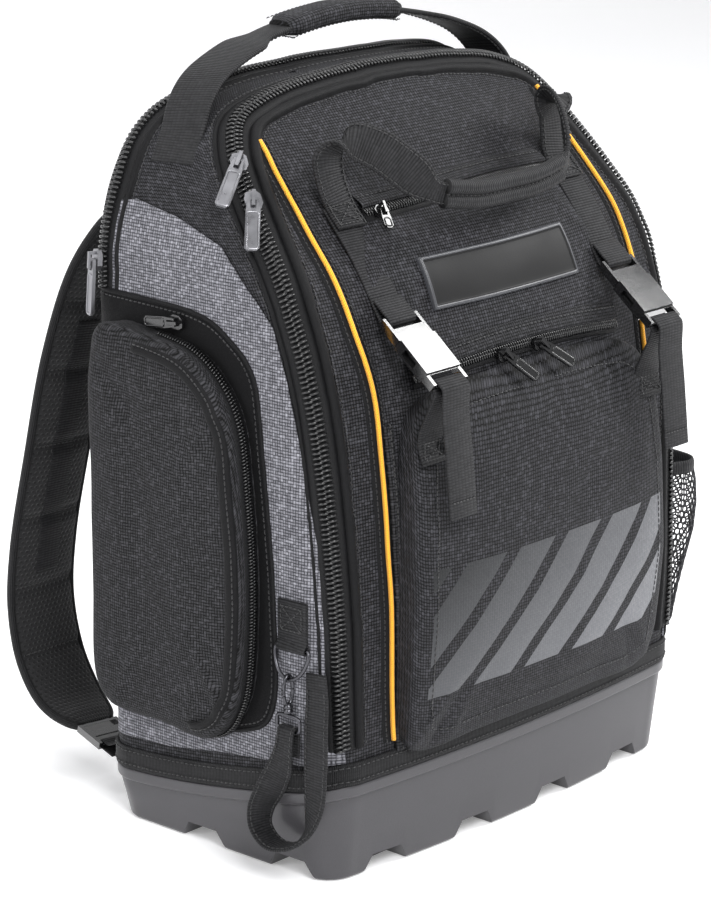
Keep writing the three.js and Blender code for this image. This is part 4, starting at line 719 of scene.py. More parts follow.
def closest(points):
    places, normals = [], []
    for p in np.atleast_2d(points):
        place, _, face, _ = body_tree.find_nearest(Vector(p))
        places.append(place)
        normals.append(skin_normal(place, face))
    return np.array(places), np.array(normals)


def front_spot(x, z):
    place, _, face, _ = body_tree.ray_cast(Vector((x, -400, z)), Vector((0, 1, 0)))
    return np.array(place), skin_normal(place, face)


def side_spot(y, z, side):
    place, _, face, _ = body_tree.ray_cast(Vector((side * 400, y, z)), Vector((-side, 0, 0)))
    return np.array(place), skin_normal(place, face)


def spots_of(pairs, finder):
    found = [finder(*pair) for pair in pairs]
    return np.array([f[0] for f in found]), np.array([f[1] for f in found])


def bag_point(out, fore, up, side=1):
    return (side * out * HALF_WIDTH, -fore * FRONT, up * HEIGHT)


def frames(points, normals):
    along = tangents(points)
    across = unit(np.cross(along, normals))
    return along, across, unit(np.cross(across, along))


def on_skin(points, step):
    """An even route on the bag's skin with its normals."""
    points = np.asarray(points, float)
    rough = catmull(points, 40)
    seated, _ = closest(rough)
    count = max(4, int(route_length(seated) / step))
    even = catmull(seated, count)
    return closest(even)


def conform(heap, places, normals, section, index=0, flip=False):
    """A strip whose every point is set on the skin: section [(across, out)] from edge to edge."""
    along, across, _ = frames(places, normals)
    rows = []
    for a, o in section:
        spots, faces_out = closest(places + across * a)
        rows.append(spots + faces_out * o)
    grid = np.stack(rows, 1)
    way = distances(places)
    girth = np.array([a for a, o in section])
    uv = np.stack(np.broadcast_arrays(girth[None, :], way[:, None]), -1)
    faces = grid_faces(len(places), len(section))
    heap.add(grid.reshape(-1, 3), faces.tolist(), uv.reshape(-1, 2), index)
    return grid


def scatter(heap, points, faces, centres, x_axis, y_axis, z_axis, index=0):
    """Copies of a small form, each in its own frame."""
    points = np.asarray(points, float)
    spots = (centres[:, None, :] + x_axis[:, None, :] * points[None, :, 0:1]
             + y_axis[:, None, :] * points[None, :, 1:2] + z_axis[:, None, :] * points[None, :, 2:3])
    count = len(points)
    all_faces = [tuple(i + k * count for i in f) for k in range(len(centres)) for f in faces]
    uv = np.tile(points[:, :2], (len(centres), 1))
    heap.add(spots.reshape(-1, 3), all_faces, uv, index)


def stitch_form(long=3.0, radius=0.42):
    line = [(0, -long / 2, -0.1), (0, -long / 2 + 0.5, 0.25), (0, 0, 0.42), (0, long / 2 - 0.5, 0.25),
            (0, long / 2, -0.1)]
    heap = Heap()
    tube(heap, line, radius, 5, share=[0.5, 1, 1.1, 1, 0.5])
    return np.vstack(heap.points), heap.faces


def stitches(heap, points, normals, pitch=4.0, long=2.9, radius=0.42, lift=0.1, index=0):
    """A row of sewing stitches along a line."""
    points, normals = np.asarray(points, float), np.asarray(normals, float)
    way = distances(points)
    if way[-1] < pitch:
        return
    at = np.arange(pitch / 2, way[-1], pitch)
    centres = np.stack([np.interp(at, way, points[:, k]) for k in range(3)], 1)
    up = unit(np.stack([np.interp(at, way, normals[:, k]) for k in range(3)], 1))
    ahead = np.stack([np.interp(np.minimum(at + 0.5, way[-1]), way, points[:, k]) for k in range(3)], 1)
    behind = np.stack([np.interp(np.maximum(at - 0.5, 0), way, points[:, k]) for k in range(3)], 1)
    y_axis = unit(ahead - behind)
    x_axis = unit(np.cross(y_axis, up))
    z_axis = np.cross(x_axis, y_axis)
    form, faces = stitch_form(long, radius)
    scatter(heap, form, faces, centres + z_axis * lift, x_axis, y_axis, z_axis, index)


thread = Heap()

# Body

way_round = distances(rings[40])
front_middle = way_round[ring_count // 2]
perimeter = np.stack([distances(ring) for ring in rings])
perimeter -= perimeter[:, ring_count // 2:ring_count // 2 + 1]
rise = np.concatenate([np.zeros((1, ring_count)),
                       np.cumsum(np.linalg.norm(np.diff(rings, axis=0), axis=2), axis=0)])
body = make("bag_body", rings.reshape(-1, 3), body_faces.tolist() + [[(rows_count - 1) * ring_count + i
            for i in range(ring_count)]], BLACK_WEAVE, uv=np.stack([perimeter, rise], -1).reshape(-1, 2),
            slot="black_cloth", replaces=["body_shell"])

# Moulded base with its lip and cut notches

LIP, LIP_OUT, DRAFT, WALL, TREAD, FLOOR_UNDER, FLOOR_TOP = 9.0, 1.4, 7.0, 3.5, 24.0, 11.0, 15.0


def level(z):
    return lambda y: np.full(np.shape(y), float(z))


def ring_solid(heap, rows, index=0):
    grid = np.stack(rows)
    count = grid.shape[1]
    faces = grid_faces(len(rows), count, wrap_columns=True).tolist()
    faces += end_caps(len(rows), count)
    heap.add(grid.reshape(-1, 3), faces, None, index)


def build_tub():
    lip = lambda down: (lambda y: rim_at(y) - down)
    profile = [
        (level(0), -DRAFT - 3), (level(0.5), -DRAFT - 1.6), (level(1.6), -DRAFT - 0.5), (level(3), -DRAFT),
        (lambda y: 3 + (rim_at(y) - LIP - 5) * 0.5, -DRAFT / 2 - 0.6), (lip(LIP + 3.4), -1.2),
               (lip(LIP + 2.4), -1.6),
        (lip(LIP + 1.2), -1.4), (lip(LIP + 0.4), 0.2), (lip(LIP - 0.4), 1.1), (lip(LIP - 1.6), LIP_OUT),
        (lip(3), LIP_OUT + 0.1), (lip(1.7), LIP_OUT), (lip(1.1), 0.9), (lip(0.9), 0.0), (lip(-COLLAR), 0.0),
        (lip(-COLLAR), -WALL), (lambda y: np.full(np.shape(y), FLOOR_TOP + 8.0), -DRAFT - WALL + 2),
        (level(FLOOR_TOP), -DRAFT - WALL - 6)]
    heap = Heap()
    ring_solid(heap, [base_ring(at, grow) for at, grow in profile])
    tub = heap.make("base_tub_moulding", TUB, slot="base_plastic", replaces=["base_tub"])
    tools = Heap()
    under = [base_ring(level(z), grow) for z,
             grow in ((-2, -DRAFT - TREAD), (FLOOR_UNDER - 2, -DRAFT - TREAD - 0.5),
                                                      (FLOOR_UNDER, -DRAFT - TREAD - 3))]
    ring_solid(tools, under)
    high, wide, roof = 12.0, 40.0, 26.0

    def prism(corners, spread):
        base = np.array(corners)
        block = np.vstack([base, base + spread])
        tools.add(block, [(0, 1, 2, 3), (7, 6, 5, 4), (0, 4, 5, 1), (1, 5, 6, 2), (2, 6, 7, 3), (3, 7, 4, 0)])

    for share in (-1.5, -0.5, 0.5, 1.5):
        m = share * 85.4
        shape = [(m - wide / 2 - 1, -1), (m + wide / 2 + 1, -1), (m + roof / 2, high), (m - roof / 2, high)]
        prism([(x, -FRONT - 20, z) for x, z in shape], (0, 20 + DRAFT + TREAD + 3, 0))
        prism([(x, BACK - DRAFT - TREAD - 3, z) for x, z in shape], (0, 20 + DRAFT + TREAD + 3, 0))
    for share in (-0.5, 0.5):
        m = -26 + share * 81
        shape = [(m - wide / 2 - 1, -1), (m + wide / 2 + 1, -1), (m + roof / 2, high), (m - roof / 2, high)]
        prism([(-HALF_WIDTH - 20, y, z) for y, z in shape], (20 + DRAFT + TREAD + 3, 0, 0))
        prism([(HALF_WIDTH - DRAFT - TREAD - 3, y, z) for y, z in shape], (20 + DRAFT + TREAD + 3, 0, 0))
    data = bpy.data.meshes.new("base_cutters")
    data.from_pydata(to_frame(np.vstack(tools.points)).tolist(), [], tools.faces)
    cutter = bpy.data.objects.new("base_cutters", data)
    bpy.context.scene.collection.objects.link(cutter)
    outward(cutter)
    cut = tub.modifiers.new("notches", "BOOLEAN")
    cut.operation = "DIFFERENCE"
    cut.object = cutter
    cut.solver = "EXACT"
    cut.use_self = True
    settle(tub)
    bpy.data.objects.remove(cutter)
    rounded_edges(tub, 0.7, 2, 38)
    smooth_by_angle(tub, 38)
    return tub


def smooth_by_angle(piece, angle):
    data = piece.data
    data.polygons.foreach_set("use_smooth", [True] * len(data.polygons))
    net = bmesh.new()
    net.from_mesh(data)
    limit = math.radians(angle)
    for edge in net.edges:
        if len(edge.link_faces) == 2 and edge.calc_face_angle(0) > limit:
            edge.smooth = False
    net.to_mesh(data)
    net.free()


build_tub()

# Ribbed tape that binds the cloth to the base


def band_round(heap, low, high, reaches, uv_lift=0.0, index=0, steps=DENSE):
    grid = np.stack([base_ring(lambda y, part=part: rim_at(y) + low + (high - low) * part, grow, steps)
                     for part, grow in reaches])
    count = grid.shape[1]
    way = distances(grid[0])
    lift = np.array([low + (high - low) * part for part, grow in reaches])
    uv = np.stack(np.broadcast_arrays(way[None, :], lift[:, None]), -1)
    heap.add(grid.reshape(-1, 3), grid_faces(len(reaches), count, wrap_columns=True).tolist(),
             uv.reshape(-1, 2), index)
    return grid


FINE_ROUND = {"front": 150, "corner": 24, "side": 90, "heel": 20, "back": 120}
tape = Heap()
grid = band_round(tape, 0, 15, [(0.0, 0.5), (-0.03, 1.6), (0.03, 2.4), (0.14, 2.5), (0.2, 2.1), (0.26, 2.4),
                                (0.5, 2.5), (0.78, 2.4), (0.84, 2.0), (0.9, 2.3), (0.98, 2.2), (1.03, 1.4),
                                (1.0, 0.4)], steps=FINE_ROUND)
tape.make("binding_ring", BINDING, slot="webbing", replaces=["base_binding"])
for part, grow in ((0.2, 2.25), (0.84, 2.15)):
    seam = base_ring(lambda y: rim_at(y) + 15 * part, grow)
    outwards = unit(np.column_stack([seam[:, 0] / HALF_WIDTH, seam[:, 1] / FRONT, np.zeros(len(seam))]))
    stitches(thread, seam, outwards, 4.2, 3.0, 0.45)

# Cloth panels laid on the bag

def inside_polygon(points, polygon):
    x, y = points[:, 0], points[:, 1]
    inside = np.zeros(len(points), bool)
    for (x1, y1), (x2, y2) in zip(polygon, np.roll(polygon, -1, 0)):
        crosses = (y1 > y) != (y2 > y)
        with np.errstate(divide="ignore", invalid="ignore"):
            inside ^= crosses & (x < (x2 - x1) * (y - y1) / (y2 - y1) + x1)
    return inside


def dense_polygon(polygon, step):
    rows = []
    polygon = np.asarray(polygon, float)
    for a, b in zip(polygon, np.roll(polygon, -1, 0)):
        n = max(1, int(np.linalg.norm(b - a) / step))
        rows += [a + (b - a) * i / n for i in range(n)]
    return np.array(rows)


def cloth_patch(name, outline, side, lift, material, holes=(), step=4.0, **words):
    """A panel given in y and z, triangulated and laid on one side of the bag."""
    border = dense_polygon(outline, step)
    loops = [border] + [dense_polygon(hole, step) for hole in holes]
    points, edges = [], []
    for loop in loops:
        start = len(points)
        points += [tuple(p) for p in loop]
        edges += [(start + i, start + (i + 1) % len(loop)) for i in range(len(loop))]
    low, high = border.min(0), border.max(0)
    grid = np.stack(np.meshgrid(np.arange(low[0], high[0], step), np.arange(low[1], high[1], step)),
                    -1).reshape(-1, 2)
    keep = inside_polygon(grid, border)
    for hole in loops[1:]:
        keep &= ~inside_polygon(grid, hole)
    everything = np.array(points)
    grid = grid[keep]
    near = np.array([np.min(np.linalg.norm(everything - p, axis=1)) > step * 0.5 for p in grid])
    points += [tuple(p) for p in grid[near]]
    verts, _, faces, *_ = delaunay_2d_cdt([Vector(p) for p in points], edges, [], 1, 0.001)
    flat = np.array([tuple(v) for v in verts])
    faces = np.array([f for f in faces if len(f) == 3])
    middles = flat[faces].mean(1)
    keep = inside_polygon(middles, border)
    for hole in loops[1:]:
        keep &= ~inside_polygon(middles, hole)
    faces = faces[keep]
    spots, normals = spots_of([(y, z, side) for y, z in flat], side_spot)
    laid = spots + normals * lift
    corners = laid[faces]
    area = float(np.linalg.norm(np.cross(corners[:, 1] - corners[:, 0], corners[:, 2] - corners[:, 0]),
                                axis=1).sum() / 2)
    piece = make(name, laid, faces.tolist(), material, uv=flat * np.array([side, 1]), **words)
    thicken(piece, 0.9, 0.0)
    area *= MM * MM
    return piece, border


def side_outline(rows):
    return np.array([(-fore * FRONT, up * HEIGHT) for fore, up in rows])


GREY = side_outline([
    (-0.740, 0.850), (-0.560, 0.858), (-0.250, 0.846), (0.100, 0.820), (0.390, 0.761), (0.500, 0.730),
                     (0.590, 0.670),
    (0.650, 0.615), (0.700, 0.560), (0.750, 0.500), (0.790, 0.440), (0.820, 0.380), (0.840, 0.327),
                     (0.860, 0.260),
    (0.870, 0.200), (0.880, 0.168), (0.600, 0.160), (0.100, 0.146), (-0.300, 0.130), (-0.740, 0.124)])
GUSSET = side_outline([
    (-0.820, 0.735), (-0.350, 0.733), (-0.100, 0.730), (0.060, 0.722), (0.200, 0.703), (0.310, 0.682),
                       (0.380, 0.655),
    (0.410, 0.617), (0.435, 0.553), (0.457, 0.501), (0.487, 0.435), (0.507, 0.371), (0.517, 0.300),
                       (0.505, 0.240),
    (0.430, 0.205), (0.250, 0.186), (-0.100, 0.170), (-0.400, 0.166), (-0.820, 0.166)])
grey_left, _ = cloth_patch("grey_panel_left", GREY, -1, 1.1, GREY_WEAVE, slot="grey_cloth",
                           replaces=["side_panel_left"])
grey_right, _ = cloth_patch("grey_panel_right", GREY, 1, 1.1, GREY_WEAVE, slot="grey_cloth",
                            replaces=["side_panel_right"])
gusset, gusset_edge = cloth_patch("pocket_surround", GUSSET, -1, 2.0, VELVET, slot="black_cloth")


def hem(name, outline, side, lift, radius, material, chosen=None, slot="black_cloth"):
    """A rolled edge on a panel."""
    border = dense_polygon(outline, 5.0) if chosen is None else chosen
    spots, normals = spots_of([(y, z, side) for y, z in border], side_spot)
    heap = Heap()
    loft = spots + normals * (lift + radius * 0.3)
    along, across, out = frames(loft, normals)
    section = [(radius * 1.4 * math.cos(a), radius * max(math.sin(a), -0.3)) for a in np.linspace(0,
                                                                                                  2 * math.pi, 11)[:-1]]
    sweep(heap, loft, across, out, section)
    return heap.make(name, material, slot=slot)


gusset_run = catmull(GUSSET[0:17], 110)
hem("surround_edge", None, -1, 1.6, 1.2, SOFT_BLACK, chosen=gusset_run)
spots, normals = spots_of([(y, z, -1) for y, z in catmull((GUSSET[0:17] - np.array([0, 0])) * 1.0, 110)],
                          side_spot)
inner = spots + unit(np.cross(tangents(spots), normals)) * 3.4
stitches(thread, inner, normals, 4.0, 2.9, 0.42, lift=2.3)

# Zips: tape, two rows of coil, rolled cloth edges and stitching

BIG = {"tape": 22.0, "coil": 10.4, "pitch": 3.3, "wire": 0.95, "lift": 1.7, "rise": 3.2}
SMALL = {"tape": 13.0, "coil": 6.2, "pitch": 2.2, "wire": 0.62, "lift": 0.9, "rise": 2.4}


def coil_form(kind):
    w, r, top = kind["coil"] / 2, kind["wire"], kind["rise"] - 0.95
    line = [(-w, -0.35, 0.2), (-w * 0.9, -0.15, top * 0.62), (-w * 0.5, 0.1, top),
            (-w * 0.08, 0.25, top * 1.02),
            (w * 0.16, 0.3, top * 0.62)]
    heap = Heap()
    tube(heap, line, r, 6, share=[0.8, 1, 1, 1.15, 0.9])
    return np.vstack(heap.points), heap.faces


def zip_rows(name, places, normals, kind, node, conforming=True):
    """places: the zip's middle line on its carrier; normals: away from it."""
    heap = Heap()
    half, lift = kind["tape"] / 2, kind["lift"]
    section = [(-half, 0.1), (-half + 0.5, 0.8), (-half * 0.72, lift + 0.1),
               (-kind["coil"] * 0.55, lift + 0.5),
               (0, lift + 0.6), (kind["coil"] * 0.55, lift + 0.5), (half * 0.72, lift + 0.1),
               (half - 0.5, 0.8),
               (half, 0.1)]
    if conforming:
        conform(heap, places, normals, section)
    else:
        along, across, out = frames(places, normals)
        sweep(heap, places, across, out, section, closed_section=False)
    way = distances(places)
    form, faces = coil_form(kind)
    along, across, out = frames(places, normals)
    for sign, start in ((1, 0.25), (-1, 0.75)):
        at = np.arange(kind["pitch"] * start, way[-1], kind["pitch"])
        pick = lambda field: np.stack([np.interp(at, way, field[:, k]) for k in range(3)], 1)
        x_axis, y_axis, z_axis = unit(pick(across)), unit(pick(along)), unit(pick(out))
        scatter(heap, form, faces, pick(places) + z_axis * (lift + 0.5), x_axis * sign, y_axis * sign,
                z_axis, 1)
    return heap.make(name, [TAPE, COIL], slot="zip_coil", replaces=[node])


def rolled_edge(heap, places, normals, start, wide, high, lift=0.0):
    reach = [(start, lift), (start + 0.12 * wide, lift + high * 0.75), (start + 0.35 * wide, lift + high),
             (start + 0.65 * wide, lift + high), (start + 0.88 * wide, lift + high * 0.7),
             (start + wide, lift + 0.1), (start + wide + 1.0, -0.4)]
    return conform(heap, places, normals, reach)


def arch(rows):
    left = [bag_point(*row, side=-1) for row in rows]
    right = [bag_point(*row, side=1) for row in rows[:-1]][::-1]
    return left + right


FRONT_ZIP = [
    (0.955, 0.934, 0.185), (0.962, 0.909, 0.327), (0.957, 0.843, 0.457), (0.968, 0.785, 0.580),
             (0.984, 0.700, 0.690),
    (1.000, 0.612, 0.759), (0.979, 0.488, 0.812), (0.947, 0.322, 0.857), (0.909, 0.157, 0.904),
             (0.860, 0.020, 0.938),
    (0.770, -0.090, 0.968), (0.570, -0.120, 0.990), (0.300, -0.120, 1.000), (0.0, -0.120, 1.000)]
REAR_ZIP = [
    (0.985, -0.770, 0.735), (0.985, -0.770, 0.800), (0.930, -0.720, 0.891), (0.780, -0.660, 0.950),
    (0.640, -0.600, 0.970), (0.430, -0.570, 0.990), (0.200, -0.520, 1.000), (0.0, -0.510, 1.000)]
front_places, front_normals = on_skin(arch(FRONT_ZIP), 3.0)
rear_places, rear_normals = on_skin(arch(REAR_ZIP), 3.0)
zip_rows("front_zip_coil", front_places, front_normals, BIG, "front_zip")
zip_rows("rear_zip_coil", rear_places, rear_normals, BIG, "rear_zip")
edges = Heap()
_, across, _ = frames(front_places, front_normals)
forward = 1.0 if across[20] @ (np.array([0, -FRONT, 0]) - front_places[20]) > 0 else -1.0


def edge_row(places, normals, sign, start, wide, high):
    reach = [(start, 0.2), (start + 0.12 * wide, high * 0.75), (start + 0.35 * wide, high),
             (start + 0.65 * wide, high),
             (start + 0.88 * wide, high * 0.7), (start + wide, 0.2), (start + wide + 1.0, -0.4)]
    conform(edges, places, normals, [(sign * a, o) for a, o in reach])
    along, across, _ = frames(places, normals)
    line, line_normals = closest(places + across * sign * (start + wide + 2.2))
    stitches(thread, line, line_normals, 4.0, 2.9, 0.42)


edge_row(front_places, front_normals, forward, 10.2, 8.5, 3.4)
edge_row(front_places, front_normals, -forward, 10.6, 4.0, 1.8)
edge_row(rear_places, rear_normals, forward, 10.2, 5.0, 2.4)
edge_row(rear_places, rear_normals, -forward, 10.2, 5.0, 2.4)
edges.make("zip_edge_rolls", SOFT_BLACK, slot="black_cloth")

# Corded piping on the front

PIPING = [
    (0.757, 0.050, 0.941), (0.762, 0.140, 0.922), (0.772, 0.300, 0.882), (0.786, 0.500, 0.831),
          (0.786, 0.690, 0.765),
    (0.777, 0.790, 0.712), (0.754, 0.860, 0.647), (0.749, 0.910, 0.565), (0.740, 0.930, 0.467),
          (0.727, 0.940, 0.347),
    (0.720, 0.940, 0.250), (0.703, 0.930, 0.182)]
for side, word in ((-1, "left"), (1, "right")):
    places, normals = on_skin([bag_point(*row, side=side) for row in PIPING], 2.5)
    cordline = Heap()
    tube(cordline, places + normals * 2.4, 1.65, 10)
    cordline.make("piping_cord_" + word, ORANGE, slot="orange_cord", replaces=["piping_" + word])
    flange = Heap()
    conform(flange, places, normals,
            [(-7.5, 0.0), (-6.8, 0.9), (-2.0, 1.3), (0, 1.4), (2.0, 1.3), (6.8, 0.9), (7.5, 0)])
    flange.make("piping_flange_" + word, SOFT_BLACK, slot="black_cloth")
    _, across, _ = frames(places, normals)
    for offset in (-5.2, 5.2):
        line, line_normals = closest(places + across * offset)
        stitches(thread, line, line_normals, 4.0, 2.9, 0.4, lift=1.1)

# Zips over the pockets

HALF_POCKET, POCKET_LOW, POCKET_HIGH, POCKET_DEPTH = 133.0, 84.0, 328.0, 26.0
pocket_line, _ = spots_of([(a * HALF_POCKET, b * POCKET_HIGH) for a, b in (
    (-0.80, 1.008), (-0.45, 1.021), (0, 1.027), (0.45, 1.021), (0.80, 1.008))], front_spot)
upper_line, _ = spots_of([(a * HALF_WIDTH, b * HEIGHT) for a, b in (
    (-0.515, 0.846), (-0.280, 0.850), (0.100, 0.856), (0.515, 0.852))], front_spot)
pocket_zip = on_skin(pocket_line, 2.5)
upper_zip = on_skin(upper_line, 2.5)
zip_rows("pocket_zip_coil", *pocket_zip, SMALL, "front_pocket_zip")
zip_rows("upper_zip_coil", *upper_zip, SMALL, "upper_pocket_zip")
lips = Heap()
for places, normals in (pocket_zip, upper_zip):
    _, across, _ = frames(places, normals)
    up = 1.0 if across[len(across) // 2][2] > 0 else -1.0
    conform(lips, places, normals, [(up * a, o) for a, o in (
        (3.0, 3.1), (3.6, 3.9), (5.2, 4.1), (8.5, 3.2), (12.0, 1.9), (15.0, 0.9), (16.0, -0.3))])
    line, line_normals = closest(places + across * up * 11.5)
    stitches(thread, line, line_normals, 4.0, 2.9, 0.42, lift=2.2)
lips.make("zip_lips", SIDE_WEAVE, slot="black_cloth")

# Stitched welt beside the front pocket

welt, _ = spots_of([(a * HALF_POCKET, b * HEIGHT) for a, b in (
    (-0.938, 0.165), (-0.950, 0.250), (-0.968, 0.400), (-0.983, 0.520), (-0.992, 0.600))], front_spot)
places, normals = on_skin(welt, 3.0)
welt_heap = Heap()
conform(welt_heap, places, normals, [(-4.4, -0.3), (-4.1, 2.2), (-3.2, 3.5), (-1, 3.9), (1, 3.9), (3.2, 3.5),
                                     (4.1, 2.2), (4.4, -0.3)])
welt_heap.make("welt_fold", SIDE_WEAVE, slot="black_cloth", replaces=["pocket_welt"])
stitches(thread, places, normals, 4.0, 3.0, 0.45, lift=3.9)

# Pockets: a smooth outline carried out from the bag, rounded over to a full face


def closed_curve(points, count):
    points = np.asarray(points, float)
    wrapped = np.vstack([points[-2:], points, points[:3]])
    fine = catmull(np.column_stack([wrapped, np.zeros(len(wrapped))]), 1600)[:, :2]
    first = np.argmin(np.linalg.norm(fine[:1000] - points[0], axis=1))
    rest = fine[first + 200:]
    last = first + 200 + np.argmin(np.linalg.norm(rest - points[0], axis=1))
    loop = fine[first:last + 1]
    way = distances(loop)
    at = np.linspace(0, way[-1], count + 1)[:-1]
    return np.stack([np.interp(at, way, loop[:, k]) for k in range(2)], 1)


FRONT_OUTLINE = [(0, 1.000), (0.30, 0.998), (0.58, 0.988), (0.79, 0.966), (0.90, 0.915), (0.955, 0.800),
                 (0.985, 0.620), (1.000, 0.420), (0.995, 0.170), (0.970, 0.030), (0.900, 0.000),
                 (0.45, 0.000),
                 (0, 0.000)]
SIDE_OUTLINE = [(0.68, 1.000), (0.32, 0.965), (0.10, 0.850), (0.02, 0.620), (0.00, 0.300), (0.06, 0.090),
                (0.20, 0.000), (0.55, 0.000), (0.90, 0.010), (0.985, 0.060), (1.000, 0.300), (1.000, 0.620),
                (1.000, 0.900), (0.93, 1.000)]
FRONT_SWELL = np.array([(0, 0.55), (0.10, 0.80), (0.35, 1.00), (0.62, 1.00), (0.84, 0.80), (0.95, 0.50),
                        (1, 0.20)])
ROUND = np.array([(-0.30, 0.985), (0.05, 0.986), (0.25, 0.988), (0.45, 0.992), (0.62, 0.998), (0.76, 1.000),
                  (0.85, 0.990),
                  (0.91, 0.970), (0.95, 0.935), (0.975, 0.890), (0.99, 0.840), (1.01, 0.760), (1.03, 0.640),
                  (1.045, 0.500), (1.055, 0.360), (1.06, 0.220), (1.062, 0.090), (1.062, 0.012)])


def wave(x, z, seed, scale=0.02):
    return noise.noise(Vector((x * scale, z * scale, seed)))


def pocket_faces(rows, count):
    return grid_faces(rows, count,
                      wrap_columns=True).tolist() + [[(rows - 1) * count + i for i in range(count)]]


def build_front_pocket():
    half = [(a, b) for a, b in FRONT_OUTLINE]
    outline = closed_curve(half + [(-a, b) for a, b in half[-2:0:-1]], 190)
    tall = POCKET_HIGH - POCKET_LOW
    points, flat, depth = [], [], []
    for out, size in ROUND:
        for a, b in outline:
            x = a * size * HALF_POCKET
            up = 0.5 + (b - 0.5) * size
            z = POCKET_LOW + up * tall
            skin, _ = front_spot(x, z)
            reach = out * POCKET_DEPTH * np.interp(up, FRONT_SWELL[:, 0], FRONT_SWELL[:, 1])
            soft = smoothstep(0.5, 1.0, out)
            reach += soft * (1.5 * wave(x, z, 3.1, 0.016) + 0.7 * wave(x, z, 8.4, 0.04))
            for fold in POCKET_FOLDS:
                da, db = x - fold["x"], z - fold["z"]
                turn = math.radians(fold["angle"])
                along, cross = da * math.cos(turn) + db * math.sin(turn), db * math.cos(turn) - da * math.sin(turn)
                reach += soft * fold["high"] * math.exp(-(along / fold["long"]) ** 2 - (cross / fold["wide"]) ** 2)
            points.append((x, skin[1] - reach, z))
            flat.append((x, z))
            depth.append(reach)
    points, flat, depth = np.array(points), np.array(flat), np.array(depth)
    piece = make("front_pocket_cloth", points, pocket_faces(len(ROUND), len(outline)), FRONT_POCKET_LOOK,
                 uv=np.stack([flat[:, 0] + depth, flat[:, 1] + depth], 1), slot="black_cloth",
                 replaces=["front_pocket"])
    layer = piece.data.uv_layers.new(name="print")
    corner = np.empty(len(piece.data.loops), np.int32)
    piece.data.loops.foreach_get("vertex_index", corner)
    layer.data.foreach_set("uv", (flat[corner] * MM).astype(np.float32).ravel())
    piece.data.uv_layers.active_index = 0
    return points.reshape(len(ROUND), -1, 3)


POCKET_FOLDS = table([
    (-118, 104, 52, 30, 4.0, 2.4), (-104, 98, 66, 26, 3.6, -2.2), (-90, 100, 78, 24, 4.0, 1.6),
    (112, 106, -50, 30, 4.0, 2.2), (98, 100, -64, 26, 3.6, -1.8), (20, 240, 8, 90, 14.0, -1.2),
    (-40, 300, 4, 60, 6.0, 1.2), (60, 306, -6, 50, 6.0, 1.2), (-70, 268, 30, 50, 7.0, 1.1),
    (86, 250, 70, 60, 8.0, -1.0)], "x z angle long wide high")


def printed_pocket():
    """The pocket's weave with a band of slanted glossy bars printed over it."""
    s = Shader("pocket_weave_printed", Sheen_Weight=0.02, Specular_IOR_Level=0.18)
    height, shade = threads(s, 0.0023, "basket")
    fine = s.noise(420.0, 2.0)
    cloud = s.noise(9.0, 4.0)
    # Painted light as in woven: painted highlight on thread tops, painted shade in the gaps, and painted glints on the
    # brightest cells (cell value cubed).
    tone = s.add(s.mul(height, 0.72), s.mul(s.math("POWER", shade, 3.0), 0.28))
    tone = s.add(tone, s.mul(s.sub(fine, 0.5), 0.3))
    tone = s.add(tone, s.mul(s.sub(cloud, 0.5), 0.12))
    cloth = s.ramp(tone, [(0.40, POCKET_DARK), (0.95, POCKET_LIGHT)])
    split = s.node("ShaderNodeSeparateXYZ")
    s.plug(s.node("ShaderNodeUVMap", uv_map="print").outputs[0], split.inputs[0])
    x, z = split.outputs[0], split.outputs[1]
    bar = s.math("FRACT", s.div(s.sub(x, s.mul(z, 0.98)), 0.050))
    mask = s.math("LESS_THAN", bar, 0.72)
    for value, low, high in ((x, -0.122, 0.122), (z, 0.123, 0.212)):
        mask = s.mul(mask, s.math("GREATER_THAN", value, low))
        mask = s.mul(mask, s.math("LESS_THAN", value, high))
    worn = s.span(s.add(s.noise(260.0, 3.0), s.mul(height, 0.25)), 0.42, 0.5, 0.0, 1.0)
    mask = s.mul(mask, s.add(0.8, s.mul(worn, 0.2)))
    drift = s.add(s.span(x, -0.12, 0.12, 0.0, 0.6), s.span(z, 0.212, 0.123, 0.0, 0.4))
    ink = s.ramp(drift, [(0.0, linear(30, 31, 32)), (1.0, linear(108, 109, 113))])
    rough = s.add(s.span(shade, 0, 1, 0.66, 0.86), s.mul(mask, -0.36))
    normal = s.bump(s.mul(height, s.sub(1.0, s.mul(mask, 0.55))), 0.0003, 0.9)
    normal = s.bump(cloud, 0.002, 0.35, normal)
    return s.finish(s.mix(mask, cloth, ink), rough, normal)


POCKET_DARK, POCKET_LIGHT = linear(1, 1, 1), linear(62, 62, 66)
FRONT_POCKET_LOOK = printed_pocket()
pocket_rings = build_front_pocket()
edge = pocket_rings[9]
edge_out = unit(np.column_stack([edge[:, 0] * 0.1, np.full(len(edge), -1.0), np.zeros(len(edge))]))
stitches(thread, edge[4:-4], edge_out[4:-4], 4.2, 3.0, 0.42, lift=0.3)

# Side pocket, with a cloth binding along its front and top edge, and its zip on the wall

SIDE = {"front": -49.0, "back": 88.0, "low": 92.0, "high": 357.0, "depth": 26.0}
SIDE_FOLDS = table([
    (-30, 120, 60, 30, 4.0, 1.8), (-20, 300, -50, 40, 6.0, 1.6), (60, 110, -60, 34, 5.0, 1.6),
    (40, 240, 84, 90, 12.0, -1.4), (0, 200, 86, 100, 14.0, 1.0), (62, 320, 40, 40, 7.0, -1.4)],
    "x z angle long wide high")


